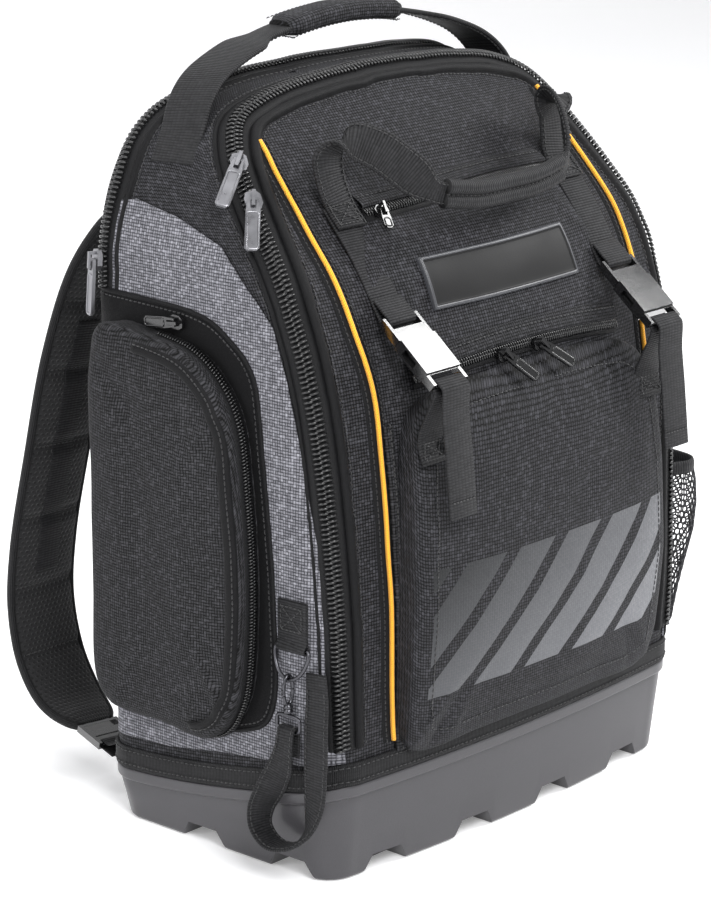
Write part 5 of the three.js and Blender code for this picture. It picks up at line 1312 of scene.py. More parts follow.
def build_side_pocket():
    span = np.array([SIDE["back"] - SIDE["front"], SIDE["high"] - SIDE["low"]])
    corner = np.array([SIDE["front"], SIDE["low"]])
    middle = corner + span / 2
    outline = closed_curve([corner + span * np.array(row) for row in SIDE_OUTLINE], 190)
    points, uv = [], []
    for out, size in ROUND:
        for y0, z0 in outline:
            y, z = middle + (np.array([y0, z0]) - middle) * size
            reach = out * SIDE["depth"] if out > 0 else -12
            soft = smoothstep(0.5, 1.0, out)
            reach += soft * (1.3 * wave(y, z, 5.7, 0.016) + 0.6 * wave(y, z, 1.4, 0.04))
            for fold in SIDE_FOLDS:
                da, db = y - fold["x"], z - fold["z"]
                turn = math.radians(fold["angle"])
                along, cross = da * math.cos(turn) + db * math.sin(turn), db * math.cos(turn) - da * math.sin(turn)
                reach += soft * fold["high"] * math.exp(-(along / fold["long"]) ** 2 - (cross / fold["wide"]) ** 2)
            points.append((-HALF_WIDTH - reach, y, z))
            uv.append((-y + reach, z + reach))
    piece = make("side_pocket_cloth", points, pocket_faces(len(ROUND), len(outline)), SIDE_WEAVE,
                 uv=uv, slot="black_cloth", replaces=["side_pocket"])
    return np.array(points).reshape(len(ROUND), -1, 3), outline, middle


side_rings, side_curve, side_middle = build_side_pocket()


def outline_run(ring, first, last):
    """Points of a ring from one share of the outline to another."""
    count = len(ring)
    picks = np.arange(int(first * count), int(last * count) + 1) % count
    return ring[picks]


def wall_run(out_share, first, last, scale=1.0):
    ring = side_rings[np.argmin(np.abs(ROUND[:, 0] - out_share))]
    run = outline_run(ring, first, last)
    away = run[:, 1:] - side_middle
    ahead = tangents(run)
    normal = unit(np.column_stack([np.zeros(len(run)), -ahead[:, 2], ahead[:, 1]]))
    flip = np.sign((normal[:, 1:] * away).sum(1))
    return run, normal * flip[:, None]


way = distances(side_curve)
bottom_front = way[np.argmin(np.linalg.norm(side_curve - np.array([SIDE["front"] + 0.30 * 137,
                                                                   SIDE["low"]]), axis=1))] / way[-1]
run, normal = wall_run(0.25, 0.02, bottom_front)
spacing = int(route_length(run) / 2.5)
both = catmull(np.column_stack([run, normal]), spacing)
places = both[:, :3]
places[:, 0] = -HALF_WIDTH - 10.5
zip_rows("side_zip_coil", places, unit(both[:, 3:]), SMALL, "side_pocket_zip", conforming=False)

binding = Heap()
run, normal = wall_run(0.95, 0.0, bottom_front)
both = catmull(np.column_stack([run, normal]), int(route_length(run) / 3))
slanted = unit(unit(both[:, 3:]) + np.array([-1.1, 0, 0]))
along, across, out = frames(both[:, :3] - slanted * 0.6, slanted)
section = [(4.6 * math.cos(a), 2.5 * math.sin(a) + 0.2) for a in np.linspace(0, 2 * math.pi, 15)[:-1]]
sweep(binding, both[:, :3] - slanted * 0.6, across, out, section)
binding.make("side_pocket_binding", SOFT_BLACK, slot="black_cloth")
stitches(thread, both[:, :3] + out * 2.0, out, 4.0, 2.9, 0.42, lift=0.2)

# Net pocket on the right, in real thread

NET_PLAN = [(-101, -9), (-109, 8), (-105, 20), (-88, 25.5), (-55, 26), (-15, 24), (20, 20), (46, 10), (60, 0)]
NET_RISE = np.array([(0, 0.02), (0.06, 0.30), (0.24, 0.46), (0.42, 0.68), (0.60, 0.93), (0.76, 1.00),
                     (0.90, 0.96), (1, 0.86)])
NET_LOW, NET_HIGH = 88.0, 209.0


def net_surface(columns, rows, out=0.8):
    plan = catmull([(HALF_WIDTH + o, y, 0) for y, o in NET_PLAN], columns)
    grid = np.zeros((rows + 1, columns + 1, 3))
    for r in range(rows + 1):
        up = r / rows
        z = NET_LOW + up * (NET_HIGH - NET_LOW)
        far = plan.copy()
        far[:, 2] = z
        near, normals = closest(far)
        share = np.interp(up, NET_RISE[:, 0], NET_RISE[:, 1])
        grid[r] = near + (far - near) * share + normals * (out + 1.2)
    return grid


def build_net():
    columns, rows = 92, 58
    grid = net_surface(columns, rows)
    points = grid.reshape(-1, 3)
    faces, verts, seen = [], [], {}
    width = columns + 1

    def spot(r, c):
        r2, c2 = min(max(r, 0), rows), min(max(c, 0), columns)
        r0, c0 = int(r2), int(c2)
        r1, c1 = min(r0 + 1, rows), min(c0 + 1, columns)
        fr, fc = r2 - r0, c2 - c0
        return ((grid[r0, c0] * (1 - fc) + grid[r0, c1] * fc) * (1 - fr)
                + (grid[r1, c0] * (1 - fc) + grid[r1, c1] * fc) * fr)

    def vertex(r, c):
        key = (round(r * 4), round(c * 4))
        if key not in seen:
            seen[key] = len(verts)
            verts.append(spot(r, c))
        return seen[key]

    for r in range(0, rows - 1, 2):
        for c in range(0, columns - 1, 2):
            shift = 1 if (r // 2) % 2 else 0
            c0 = c + shift
            if c0 + 2 > columns:
                continue
            ring = [(r + 0.5, c0), (r, c0 + 1), (r + 0.5, c0 + 2), (r + 2, c0 + 2), (r + 2.5, c0 + 1),
                    (r + 2, c0)]
            faces.append([vertex(a, b) for a, b in ring])
    piece = make("net_pocket_mesh", np.array(verts), faces, NET_THREAD, uv=np.array(verts)[:, 1:], slot="net",
                 replaces=["mesh_pocket"])
    wire = piece.modifiers.new("net_thread", "WIREFRAME")
    wire.thickness = 1.5 * MM
    wire.use_even_offset = False
    wire.use_boundary = True
    wire.use_replace = True
    settle(piece)
    hems = Heap()
    for line in (grid[-1], grid[:, 0], grid[:, -1], grid[0]):
        fine = catmull(line, 60)
        _, normals = closest(fine)
        along, across, out = frames(fine, normals)
        section = [(5.0 * math.cos(a), 1.5 * math.sin(a)) for a in np.linspace(0, 2 * math.pi, 13)[:-1]]
        sweep(hems, fine, across, out, section)
    hems.make("net_pocket_hem", WEBBING, slot="webbing")


build_net()

# Bare rubber plate with a raised rim

PATCH_WIDE, PATCH_HIGH, PATCH_UP = 149.0, 33.0, 386.0


def build_patch():
    marks = [0.0, 0.3, 0.8, 1.6, 2.4, 2.9, 3.3, 3.8]
    lifts = [0.2, 2.3, 3.2, 3.35, 3.2, 2.6, 2.35, 2.3]
    columns = [-PATCH_WIDE / 2 + m for m in marks] + list(np.linspace(-PATCH_WIDE / 2 + 6,
                                                                      PATCH_WIDE / 2 - 6, 40))
    columns += [PATCH_WIDE / 2 - m for m in marks[::-1]]
    rows = [-PATCH_HIGH / 2 + m for m in marks] + list(np.linspace(-PATCH_HIGH / 2 + 6, PATCH_HIGH / 2 - 6,
                                                                   8))
    rows += [PATCH_HIGH / 2 - m for m in marks[::-1]]
    points, shade = [], []
    for z in rows:
        for x in columns:
            inset = min(PATCH_WIDE / 2 - abs(x), PATCH_HIGH / 2 - abs(z))
            place, normal = front_spot(x, PATCH_UP + z)
            points.append(place + normal * (np.interp(inset, marks, lifts) + 0.1))
            shade.append(inset)
    shade = np.array(shade)
    faces = grid_faces(len(rows), len(columns))
    index = (shade[faces].mean(1) < 2.65).astype(int)
    make("patch_plate", points, faces.tolist(), [RUBBER, RUBBER_RIM], index=index, slot="patch_rubber",
         replaces=["patch"])
    border = dense_polygon([(-PATCH_WIDE / 2 + 5, PATCH_UP - PATCH_HIGH / 2 + 5),
                            (PATCH_WIDE / 2 - 5, PATCH_UP - PATCH_HIGH / 2 + 5),
                            (PATCH_WIDE / 2 - 5, PATCH_UP + PATCH_HIGH / 2 - 5),
                            (-PATCH_WIDE / 2 + 5, PATCH_UP + PATCH_HIGH / 2 - 5)], 3)
    return border


build_patch()

# Webbing


def whole_route(rows):
    """A symmetrical route from its left half, whose last row is the middle."""
    rows = np.asarray(rows, float)
    mirror = rows[:-1][::-1] * np.array([-1, 1, 1, -1, 1, 1] + [1] * (rows.shape[1] - 6))
    return np.vstack([rows, mirror])


def web_frames(route):
    """Even frames on a route of x y z and the direction of the webbing's width."""
    points = route[:, :3]
    along = tangents(points)
    across = unit(route[:, 3:6] - along * (route[:, 3:6] * along).sum(1)[:, None])
    return points, along, across, np.cross(across, along)


def web(heap, rows, step, section, share=None):
    length = route_length(catmull(rows, 200))
    count = max(6, int(length / step))
    route = catmull(rows, count)
    points, along, across, out = web_frames(route)
    wide = route[:, 6] if route.shape[1] > 6 else np.ones(len(route))
    if share is not None:
        wide = wide * share(points)
    sweep(heap, points, across, out, section, share=wide)
    return points, along, across, out, wide


def edge_seams(points, across, out, wide, half, lift, inset=2.2, pitch=4.0):
    for sign in (-1, 1):
        line = points + across * (sign * (half - inset) * wide)[:, None]
        stitches(thread, line + out * lift, out, pitch, 2.9, 0.4, lift=0)


def box_stitch(place, across, along, out, wide, tall, lift):
    """A sewn square with its diagonals."""
    corners = [(-1, -1), (1, -1), (1, 1), (-1, 1), (-1, -1), (1, 1)]
    corners += [(1, -1), (-1, 1)]
    for (a, b), (c, d) in zip(corners[:5], corners[1:6]):
        ends = [place + across * a * wide / 2 + along * b * tall / 2 + out * lift,
                place + across * c * wide / 2 + along * d * tall / 2 + out * lift]
        stitches(thread, np.array(ends), np.array([out, out]), 3.6, 2.7, 0.4, lift=0)
    ends = np.array([place + across * wide / 2 - along * tall / 2 + out * lift,
                     place - across * wide / 2 + along * tall / 2 + out * lift])
    stitches(thread, ends, np.array([out, out]), 3.6, 2.7, 0.4, lift=0)


def padded_section(wide, thick, count=30):
    """A stuffed section with slim rolled edges."""
    rest = []
    for a in np.linspace(0, 2 * math.pi, count + 1)[:-1]:
        c, s = math.cos(a), math.sin(a)
        x = wide / 2 * math.copysign(abs(c) ** 0.62, c)
        y = thick / 2 * math.copysign(abs(s) ** 0.7, s)
        rest.append((x, y))
    return rest


TOP_ROUTE = [(-171, 44, 463, 0, 1, 0), (-161, 45, 481, 0, 1, 0), (-150, 48, 500, 0, 1, 0),
             (-134, 51, 514, 0, 1, 0),
             (-106, 53, 526, 0, 1, 0), (-72, 54, 535, 0, 1, 0), (-34, 54, 541, 0, 1, 0),
             (0, 54, 543, 0, 1, 0)]
top_rows = whole_route(TOP_ROUTE)
narrow = lambda half, wide, grip, fade: (lambda p: 1 - smoothstep(0, fade,
                                                                  half - np.abs(p[:, 0])) * (1 - grip / wide))
handle = Heap()
top = web(handle, top_rows, 2.5, strap_section(38, 3.2, 1.5), narrow(94, 38, 21, 18))
edge_seams(*top[:1], top[2], top[3], top[4], 19, 1.7, 2.4)
handle.make("top_handle_web", WEBBING, slot="webbing", replaces=["top_handle"])
grip = Heap()
count = 0
length = route_length(catmull(top_rows, 200))
route = catmull(top_rows, int(length / 2))
n = len(route) - 1
route = route[int(0.357 * n):int(0.643 * n) + 1]
points, along, across, out = web_frames(route)
section = padded_section(26.5, 14.5)
ends = np.minimum(np.arange(len(points)), np.arange(len(points))[::-1])
taper = 0.72 + 0.28 * smoothstep(0, 4, ends)
ring = np.array(section)
grid = points[:, None, :] + (across[:, None, :] * ring[None, :, 0:1] + out[:, None, :] * ring[None, :,
                                                                                              1:2]) * taper[:, None, None]
way = distances(points)
girth = distances(ring)
ripple = np.array([[0.35 * noise.noise(Vector(p) * 0.09) for p in row] for row in grid])
grid += ripple[:, :, None] * unit(grid - points[:, None, :])
faces = grid_faces(len(points), len(ring), wrap_columns=True).tolist()
faces += end_caps(len(points), len(ring))
uv = np.stack(np.broadcast_arrays(girth[None, :], way[:, None]), -1)
grip_piece = make("top_handle_sleeve", grid.reshape(-1, 3), faces, BLACK_WEAVE, uv=uv.reshape(-1, 2),
                  slot="black_cloth", replaces=["top_grip"])
for a, o in ((9.5, 5.6), (-9.5, 5.6), (11.5, -4.6)):
    stitches(thread, points + across * a + out * o, out * np.sign(o), 4.0, 2.9, 0.42, lift=0.5)
for end in (2, -3):
    bar = np.linspace(-10, 10, 12)[:, None] * across[end] + points[end] + out[end] * 6.6
    stitches(thread, bar, np.repeat(out[end][None], 12, 0), 2.6, 2.2, 0.5, lift=0.2)

# Front handle: its feet are sewn over the upper straps

STRAP_WIDE, STRAP_THICK, GAP = 26.0, 1.6, 0.3
feet = []
for z in (424, 437):
    place, normal = front_spot(-112, z)
    place = place + normal * (3 * GAP + STRAP_THICK + 1.4)
    feet.append((*place, 1, 0, 0))
FRONT_ROUTE = feet + [
    (-115, -43, 459, 1, 0, 0.05), (-114, -42, 472, 0.98, -0.10, 0.15), (-107, -50, 481, 0.90, -0.25, 0.35),
    (-95, -65, 476, 0.62, -0.28, 0.72), (-83, -80, 463, 0.36, -0.24, 0.90),
                      (-69, -92, 448, 0.14, -0.16, 0.97),
    (-48, -96, 443, 0, -0.12, 0.99), (-24, -97, 440, 0, -0.12, 0.99), (0, -97, 440, 0, -0.12, 0.99)]
front_rows = whole_route(FRONT_ROUTE)
handle = Heap()
front = web(handle, front_rows, 2.2, strap_section(27, 2.4, 1.1), narrow(80, 27, 15, 12))
handle.make("front_handle_web", WEBBING, slot="webbing", replaces=["front_handle"])
edge_seams(front[0], front[2], front[3], front[4], 13.5, 1.25, 2.2)
edge_seams(front[0], front[2], -front[3], front[4], 13.5, 1.25, 2.2)
rolls = Heap()
length = route_length(catmull(front_rows, 200))
route = catmull(front_rows, int(length / 2))
n = len(route) - 1
route = route[int(0.352 * n):int(0.648 * n) + 1]
points, along, across, out = web_frames(route)
for shift, thick in ((4.9, 1.0), (-4.9, 1.0)):
    section = [(shift + 5.0 * math.cos(a), 5.0 * math.sin(a)) for a in np.linspace(0, 2 * math.pi, 17)[:-1]]
    sweep(rolls, points, across, out, section)
rolls.make("front_handle_rolls", WEBBING, slot="webbing", replaces=["front_grip"])
for sign in (-1, 1):
    stitches(thread, points + out * sign * 1.7, out * sign, 4.0, 3.0, 0.45, lift=0.2)
for end in (1, -2):
    bar = np.linspace(-8, 8, 9)[:, None] * across[end] + points[end] + out[end] * 5.0
    stitches(thread, bar, np.repeat(out[end][None], 9, 0), 2.4, 2.1, 0.5, lift=0.2)

# Buckled straps

BUCKLE = {"wide": 33.0, "thick": 9.0, "frame": 6.0, "bar": 3.0, "slot": 6.2, "plug": 18.5, "socket": 28.6,
          "mouth": 9.6, "x": 113.6, "y": -122.5, "z": 354.5, "tilt": 39.7}
tilt = math.radians(BUCKLE["tilt"])
buckle_at = np.array([BUCKLE["x"], BUCKLE["y"], BUCKLE["z"]])
buckle_y = np.array([0, math.cos(tilt), math.sin(tilt)])
buckle_z = np.array([0, -math.sin(tilt), math.cos(tilt)])
plug_bar = BUCKLE["mouth"] + 0.4 + BUCKLE["plug"] - BUCKLE["bar"] / 2
socket_bar = BUCKLE["mouth"] - BUCKLE["socket"] - BUCKLE["slot"] - BUCKLE["bar"] / 2
fold_radius = BUCKLE["bar"] / 2 + GAP + STRAP_THICK / 2 + 0.6


def fold_around(origin, y_axis, z_axis, bar_at, direction, radius, tail, run=3):
    spots = [(direction * tail, radius), (direction * 3, radius)]
    spots += [(-direction * radius * math.sin(math.pi * i / 4),
               radius * math.cos(math.pi * i / 4)) for i in range(5)]
    spots.append((direction * run, -radius))
    return [origin + y_axis * (bar_at + s) + z_axis * o for s, o in spots]


def rows_of(points, across=(1, 0, 0)):
    return [(*p, *across) for p in points]


def pocket_face(x, z):
    """The front pocket's own skin below a strap."""
    place, normal, _, _ = pocket_tree.ray_cast(Vector((x, -400, z)), Vector((0, 1, 0)))
    return np.array(place), np.array(normal) if normal[1] < 0 else -np.array(normal)


pocket_tree = BVHTree.FromPolygons([tuple(p) for p in pocket_rings.reshape(-1, 3)],
                                   [tuple(f) for f in pocket_faces(*pocket_rings.shape[:2])])
upper_points = fold_around(buckle_at, buckle_y, buckle_z, plug_bar, 1, fold_radius, 16)
for z in (395, 410, 424, 437):
    place, normal = front_spot(BUCKLE["x"], z)
    upper_points.append(place + normal * (GAP + STRAP_THICK / 2 + 0.3))
lean = math.radians(7)
bar = buckle_at + buckle_y * socket_bar + buckle_z * fold_radius
lower_points = [np.array([BUCKLE["x"], bar[1] - math.sin(lean) * 90 * s ** 0.8 - 1.5,
                          bar[2] - math.cos(lean) * 90 * s])
                for s in (1, 0.75, 0.5, 0.25)]
lower_points += fold_around(buckle_at, buckle_y, buckle_z, socket_bar, -1, fold_radius, 6)
for z in (298, 282):
    place, normal = pocket_face(BUCKLE["x"], z)
    lower_points.append(place + normal * (GAP + STRAP_THICK / 2 + 0.2))
for side, word in ((-1, "left"), (1, "right")):
    for title, points, step in (("upper", upper_points, 1.5), ("lower", lower_points, 1.8)):
        heap = Heap()
        rows = np.array(rows_of(points)) * np.array([side, 1, 1, 1, 1, 1])
        strip = web(heap, rows, step, strap_section(STRAP_WIDE, STRAP_THICK + 0.2, 0.8))
        heap.make(f"{title}_web_{word}", WEBBING, slot="webbing", replaces=[f"{title}_strap_{word}"])
        if title == "lower":
            hem_row = np.linspace(-11, 11, 8)[:, None] * np.array([1, 0, 0]) + strip[0][6]
            for sign in (-1, 1):
                stitches(thread, hem_row + strip[3][6] * sign * 0.9,
                         np.repeat(strip[3][6][None] * sign, 8, 0), 3.2, 2.5, 0.4, lift=0)
    place, normal = pocket_face(side * BUCKLE["x"], 290)
    box_stitch(place, np.array([1, 0, 0]), np.array([0, 0, 1]), normal, 20, 12, 2.3)
    place, normal = front_spot(side * BUCKLE["x"], 431)
    up = unit(np.cross(np.array([1, 0, 0]), -normal))
    box_stitch(place, np.array([1, 0, 0]), up, normal, 20, 14, 5.4)

# Harness

BACK_FACE = BACK + 10.0
SHOULDER_ROUTE = [(-90, 6.4, 450, 0.62), (-94, 6.7, 437, 0.80), (-100, 16, 418, 0.95), (-109, 33, 396, 1),
                  (-118, 49, 366, 1), (-127, 66, 308, 1), (-133, 81, 232, 1), (-135, 96, 162, 1),
                  (-135, 100, 116, 1),
                  (-135, 91, 76, 1), (-136, 71, 50, 0.92), (-138, 49, 40, 0.66), (-139, 41, 38, 0.42)]
QUILTS = [0.16, 0.27, 0.38, 0.50, 0.62, 0.74, 0.85]
shoulder_rows = np.array([(x, BACK_FACE + off, z, 1, 0, 0, share) for x, off, z, share in SHOULDER_ROUTE])


def build_shoulder(side, word):
    rows = shoulder_rows * np.array([side, 1, 1, 1, 1, 1, 1]) * np.array([-1, 1, 1, 1, 1, 1, 1])
    length = route_length(catmull(rows, 300))
    route = catmull(rows, int(length / 3))
    points, along, across, out = web_frames(route)
    wide = route[:, 6]
    at = np.linspace(0, 1, len(points))
    slim = np.ones(len(points))
    for quilt in QUILTS:
        slim -= 0.42 * np.exp(-((at - quilt) * length / 4.5) ** 2)
    slim *= 0.55 + 0.45 * smoothstep(0, 0.02, at) * smoothstep(0, 0.03, 1 - at)
    section = np.array(padded_section(58, 11, count=44))
    grid = (points[:, None, :] + across[:, None, :] * (section[None, :, 0:1] * wide[:, None, None])
            + out[:, None, :] * (section[None, :, 1:2] * slim[:, None, None]))
    bulge = np.array([[0.5 * noise.noise(Vector(p) * 0.05) for p in row] for row in grid])
    grid += bulge[:, :, None] * out[:, None, :] * np.sign(section[None, :, 1:2])
    girth = distances(section)
    way = distances(points)
    uv = np.stack(np.broadcast_arrays(girth[None, :], way[:, None]), -1)
    faces = grid_faces(len(points), len(section), wrap_columns=True).tolist()
    faces += end_caps(len(points), len(section))
    index = [0 if section[(i % len(section))][1] * OUTSIDE > 0 else 1
             for i in range((len(points) - 1) * len(section))] + [0, 0]
    pad = make(f"shoulder_pad_{word}", grid.reshape(-1, 3), faces, [AIR_MESH, BLACK_WEAVE],
               uv=uv.reshape(-1, 2),
               index=index, slot="black_cloth", replaces=[f"shoulder_strap_{word}"])
    trim = Heap()
    for sign in (-1, 1):
        line = points + across * (sign * 28.6 * wide)[:, None]
        ring = [(2.6 * math.cos(a), 3.4 * math.sin(a)) for a in np.linspace(0, 2 * math.pi, 13)[:-1]]
        sweep(trim, line, across, out, ring)
    trim.make(f"shoulder_binding_{word}", BINDING, slot="webbing")
    for quilt in QUILTS:
        k = int(quilt * (len(points) - 1))
        for sign in (-1, 1):
            line = points[k] + across[k] * np.linspace(-25, 25, 14)[:,
                                                                    None] * wide[k] + out[k] * sign * 11 * 0.29
            stitches(thread, line, np.repeat(out[k][None] * sign, 14, 0), 3.8, 2.8, 0.42, lift=0.4)
    daisy = Heap()
    first, last = int(0.3 * len(points)), int(0.72 * len(points))
    sweep(daisy, (points + out * OUTSIDE * 5.6 * slim[:, None])[first:last], across[first:last],
          out[first:last],
          strap_section(20, 1.4, 0.6))
    daisy.make(f"shoulder_web_{word}", WEBBING, slot="webbing")
    return points, across, out


OUTSIDE = -1.0
left_pad = build_shoulder(1, "left")
right_pad = build_shoulder(-1, "right")

# Padded back panel with quilted channels

PAD = {"half": 130.0, "low": 66.0, "high": 456.0, "thick": 10.0, "radius": 34.0}


def build_back_panel():
    middle_z = (PAD["low"] + PAD["high"]) / 2
    corners = []
    for cx, cz, start in ((1, 1, 0), (-1, 1, 90), (-1, -1, 180), (1, -1, 270)):
        for i in range(11):
            a = math.radians(start + 9 * i)
            corners.append((cx * (PAD["half"] - PAD["radius"]) + PAD["radius"] * math.cos(a),
                            cz * ((PAD["high"] - PAD["low"]) / 2 - PAD["radius"]) + PAD["radius"] * math.sin(a)))
    outline = dense_polygon(corners, 6)
    profile = [(1.0, 0.0), (1.0, 3.0), (0.998, 5.5), (0.99, 7.6), (0.975, 8.8), (0.955, 9.4)]
    profile += [(s, 9.7) for s in (0.92, 0.88, 0.83, 0.78, 0.72, 0.66, 0.6, 0.54, 0.48, 0.42, 0.36, 0.3,
                                   0.24, 0.18, 0.12, 0.06, 0.01)]
    points, uv = [], []
    for size, high in profile:
        for a, b in outline:
            x, z = a * size, middle_z + b * size
            channel = 0.0
            for line in (-62.0, 62.0):
                channel += math.exp(-((x - line) / 5.0) ** 2)
            for line in (170.0, 262.0, 354.0):
                channel += math.exp(-((z - line) / 5.0) ** 2) * (1 - math.exp(-((abs(x) - 62.0) / 9) ** 2))
            crown = 0.8 * noise.noise(Vector((x, z, 4)) * 0.02)
            lift = high - (4.6 * min(channel, 1.0) - crown if high > 9 else 0)
            points.append((x, BACK + lift - 0.4, z))
            uv.append((x + high, z + high))
    piece = make("back_pad", points, pocket_faces(len(profile), len(outline)), AIR_MESH, uv=uv,
                 slot="black_cloth",
                 replaces=["back_panel"])
    trim = Heap()
    ring = np.array([(a * 1.004, BACK + 2.2, middle_z + b * 1.004) for a, b in outline])
    tube(trim, ring, 2.4, 8, loop=True)
    trim.make("back_pad_binding", BINDING, slot="webbing")


build_back_panel()

# Lower webbing with its ladder locks, and the chest strap

end, before = shoulder_rows[-1][:3], shoulder_rows[-2][:3]
LOCK = {"long": 26.0, "bar": 3.0}
lock_y = unit(end - before)
lock_x = unit(np.array([1, 0, 0]) - lock_y * lock_y[0])
lock_z = np.cross(lock_x, lock_y)
lock_at = end + lock_y * (LOCK["long"] / 2 + GAP)
lock_radius = LOCK["bar"] / 2 + GAP + STRAP_THICK / 2 + 0.35
lift_y = BACK * 0.94 + GAP + STRAP_THICK / 2 + 0.2
low_web = rows_of(fold_around(lock_at, lock_y, lock_z, LOCK["long"] / 2 - LOCK["bar"] / 2, 1, lock_radius,
                              12, 6), lock_x)
low_web += rows_of([(-146, lift_y + 3, 52), (-146, lift_y + 0.3, 64), (-146, lift_y + 0.3, 86)])
for side, word in ((-1, "left"), (1, "right")):
    heap = Heap()
    rows = np.array(low_web) * np.array([-side, 1, 1, 1, -side, -side])
    web(heap, rows, 1.6, strap_section(STRAP_WIDE, STRAP_THICK, 0.7))
    heap.make(f"lower_harness_web_{word}", WEBBING, slot="webbing", replaces=[f"lower_web_{word}"])
STERNUM = {"wide": 18.0, "thick": 1.6, "high": 262.0, "sag": 26.0, "inward": 24.0}
chosen = next(i for i, row in enumerate(shoulder_rows) if row[2] < STERNUM["high"] and row[1] > shoulder_rows[0][1] + 20)
a, b = shoulder_rows[chosen - 1], shoulder_rows[chosen]
part = (STERNUM["high"] - a[2]) / (b[2] - a[2])
x = a[0] + part * (b[0] - a[0]) + 31 + GAP + 2 * STERNUM["thick"]
y = a[1] + part * (b[1] - a[1])
z = STERNUM["high"]
half = [(x, y, z), (x * 0.75, y - STERNUM["inward"] * 0.5, z - STERNUM["sag"] * 0.55),
        (x * 0.4, y - STERNUM["inward"] * 0.9, z - STERNUM["sag"] * 0.92),
        (0, y - STERNUM["inward"], z - STERNUM["sag"])]
heap = Heap()
web(heap, whole_route([(*p, 0, -0.1, 1) for p in half]), 2.0,
    strap_section(STERNUM["wide"], STERNUM["thick"], 0.7))
heap.make("chest_strap", WEBBING, slot="webbing", replaces=["sternum_strap"])

# Lanyard: sewn tab, ring, swivel hook and strap

TAB = {"y": -78.0, "low": 160.0, "high": 195.0, "wide": 25.0, "thick": 5.0}
bar_x = -HALF_WIDTH - GAP - TAB["thick"] / 2
bar_z = TAB["low"] + 1.3 + 2
heap = Heap()
tab_line = []
for z in np.linspace(TAB["high"], TAB["low"] + 8, 12):
    place, normal = side_spot(TAB["y"], z, -1)
    tab_line.append((place + normal * 3.1, normal))
for angle in np.linspace(0, 180, 9):
    a = math.radians(angle)
    tab_line.append((np.array([bar_x - 0.4 - 2.3 * math.cos(a), TAB["y"], bar_z - 2.3 * math.sin(a)]),
                     np.array([-math.cos(a), 0, -math.sin(a)])))
for z in np.linspace(TAB["low"] + 8, TAB["high"], 8):
    place, normal = side_spot(TAB["y"], z, -1)
    tab_line.append((place + normal * 1.5, -normal))
points = np.array([p for p, n in tab_line])
route = catmull(np.column_stack([points, np.tile((0, 1, 0), (len(points), 1))]), 80)
centre, along, across, out = web_frames(route)
sweep(heap, centre, across, out, strap_section(TAB["wide"], 1.5, 0.7))
heap.make("lanyard_tab_web", WEBBING, slot="webbing", replaces=["lanyard_tab"])
place, normal = side_spot(TAB["y"], 183, -1)
box_stitch(place, np.array([0, 1, 0]), np.array([0, 0, 1]), normal, 18, 16, 4.0)

RING = {"wide": 30.0, "high": 21.0, "wire": 2.6, "lean": 12.0}
ring_lean = math.radians(RING["lean"])
ring_point = lambda y, drop: (bar_x - drop * math.sin(ring_lean), TAB["y"] + y,
                              bar_z - drop * math.cos(ring_lean))
half = RING["wide"] / 2
line = [ring_point(y, 0) for y in np.linspace(-half * 0.92, half * 0.92, 12)]
line += [ring_point(half * math.cos(a), RING["high"] * math.sin(a)) for a in np.linspace(0.12,
                                                                                         math.pi - 0.12, 34)]
heap = Heap()
tube(heap, line, RING["wire"] / 2, 14, loop=True)
heap.make("lanyard_d_ring", DARK_STEEL, slot="dark_metal", replaces=["d_ring"])

HOOK = {"half_width": 4.4, "half_height": 10.0, "wire": 2.4, "gate_low": 0.32, "gate_high": 0.78}
low = np.array(ring_point(0, RING["high"]))
hook_top = low[2] + RING["wire"] / 2 + 0.4 + HOOK["wire"] / 2
hook_middle = hook_top - HOOK["half_height"]
hook_x = low[0]
base = hook_middle - HOOK["half_height"]
gate_low = base + 2 * HOOK["half_height"] * HOOK["gate_low"]
gate_high = base + 2 * HOOK["half_height"] * HOOK["gate_high"]
heap = Heap()
oval = []
for a in np.linspace(0, 2 * math.pi, 90):
    spot = (hook_x + HOOK["half_width"] * math.cos(a), TAB["y"],
            hook_middle + HOOK["half_height"] * math.sin(a))
    if spot[0] > hook_x - HOOK["half_width"] + 2.0 or not gate_low < spot[2] < gate_high:
        oval.append(spot)
split = max(range(1, len(oval)), key=lambda i: math.dist(oval[i], oval[i - 1]))
oval = oval[split:] + oval[:split]
tube(heap, oval, HOOK["wire"] / 2, 12)
profile = [(0.9, base + 1.2), (1.6, base + 0.7), (2.4, base - 0.2), (3.0, base - 1.2), (3.0, base - 2.2),
           (2.3, base - 2.7),
           (2.3, base - 3.2), (3.1, base - 3.8), (3.1, base - 5.2), (2.6, base - 5.9), (1.2, base - 6.2)]
rings_of = [[(hook_x + r * math.cos(a), TAB["y"] + r * math.sin(a), z) for a in np.linspace(0, 2 * math.pi,
                                                                                            21)[:-1]]
            for r, z in profile]
faces = grid_faces(len(profile), 20, wrap_columns=True).tolist() + [list(range(20)),
                                                                    [(len(profile) - 1) * 20 + i for i in range(20)]]
heap.add(np.array(rings_of), faces)
heap.make("swivel_hook", DARK_STEEL, slot="dark_metal", replaces=["snap_hook"])

gate = Heap()
gate_x = hook_x - HOOK["half_width"]
lever = [(gate_x + 0.2, TAB["y"], gate_low + 0.5), (gate_x, TAB["y"], gate_low + 3),
         (gate_x, TAB["y"], gate_high - 2.4),
         (gate_x + 0.3, TAB["y"], gate_high - 0.5)]
tube(gate, catmull(lever, 14), 1.1, 10)
thumb = [(gate_x - 0.6, TAB["y"], gate_low + 2.2), (gate_x - 1.5, TAB["y"], gate_low + 3.4),
         (gate_x - 1.7, TAB["y"], gate_low + 4.6)]
tube(gate, catmull(thumb, 6), 0.7, 8)
gate.make("hook_lever", DARK_STEEL, body="hook_gate", slot="dark_metal", replaces=["hook_gate"])

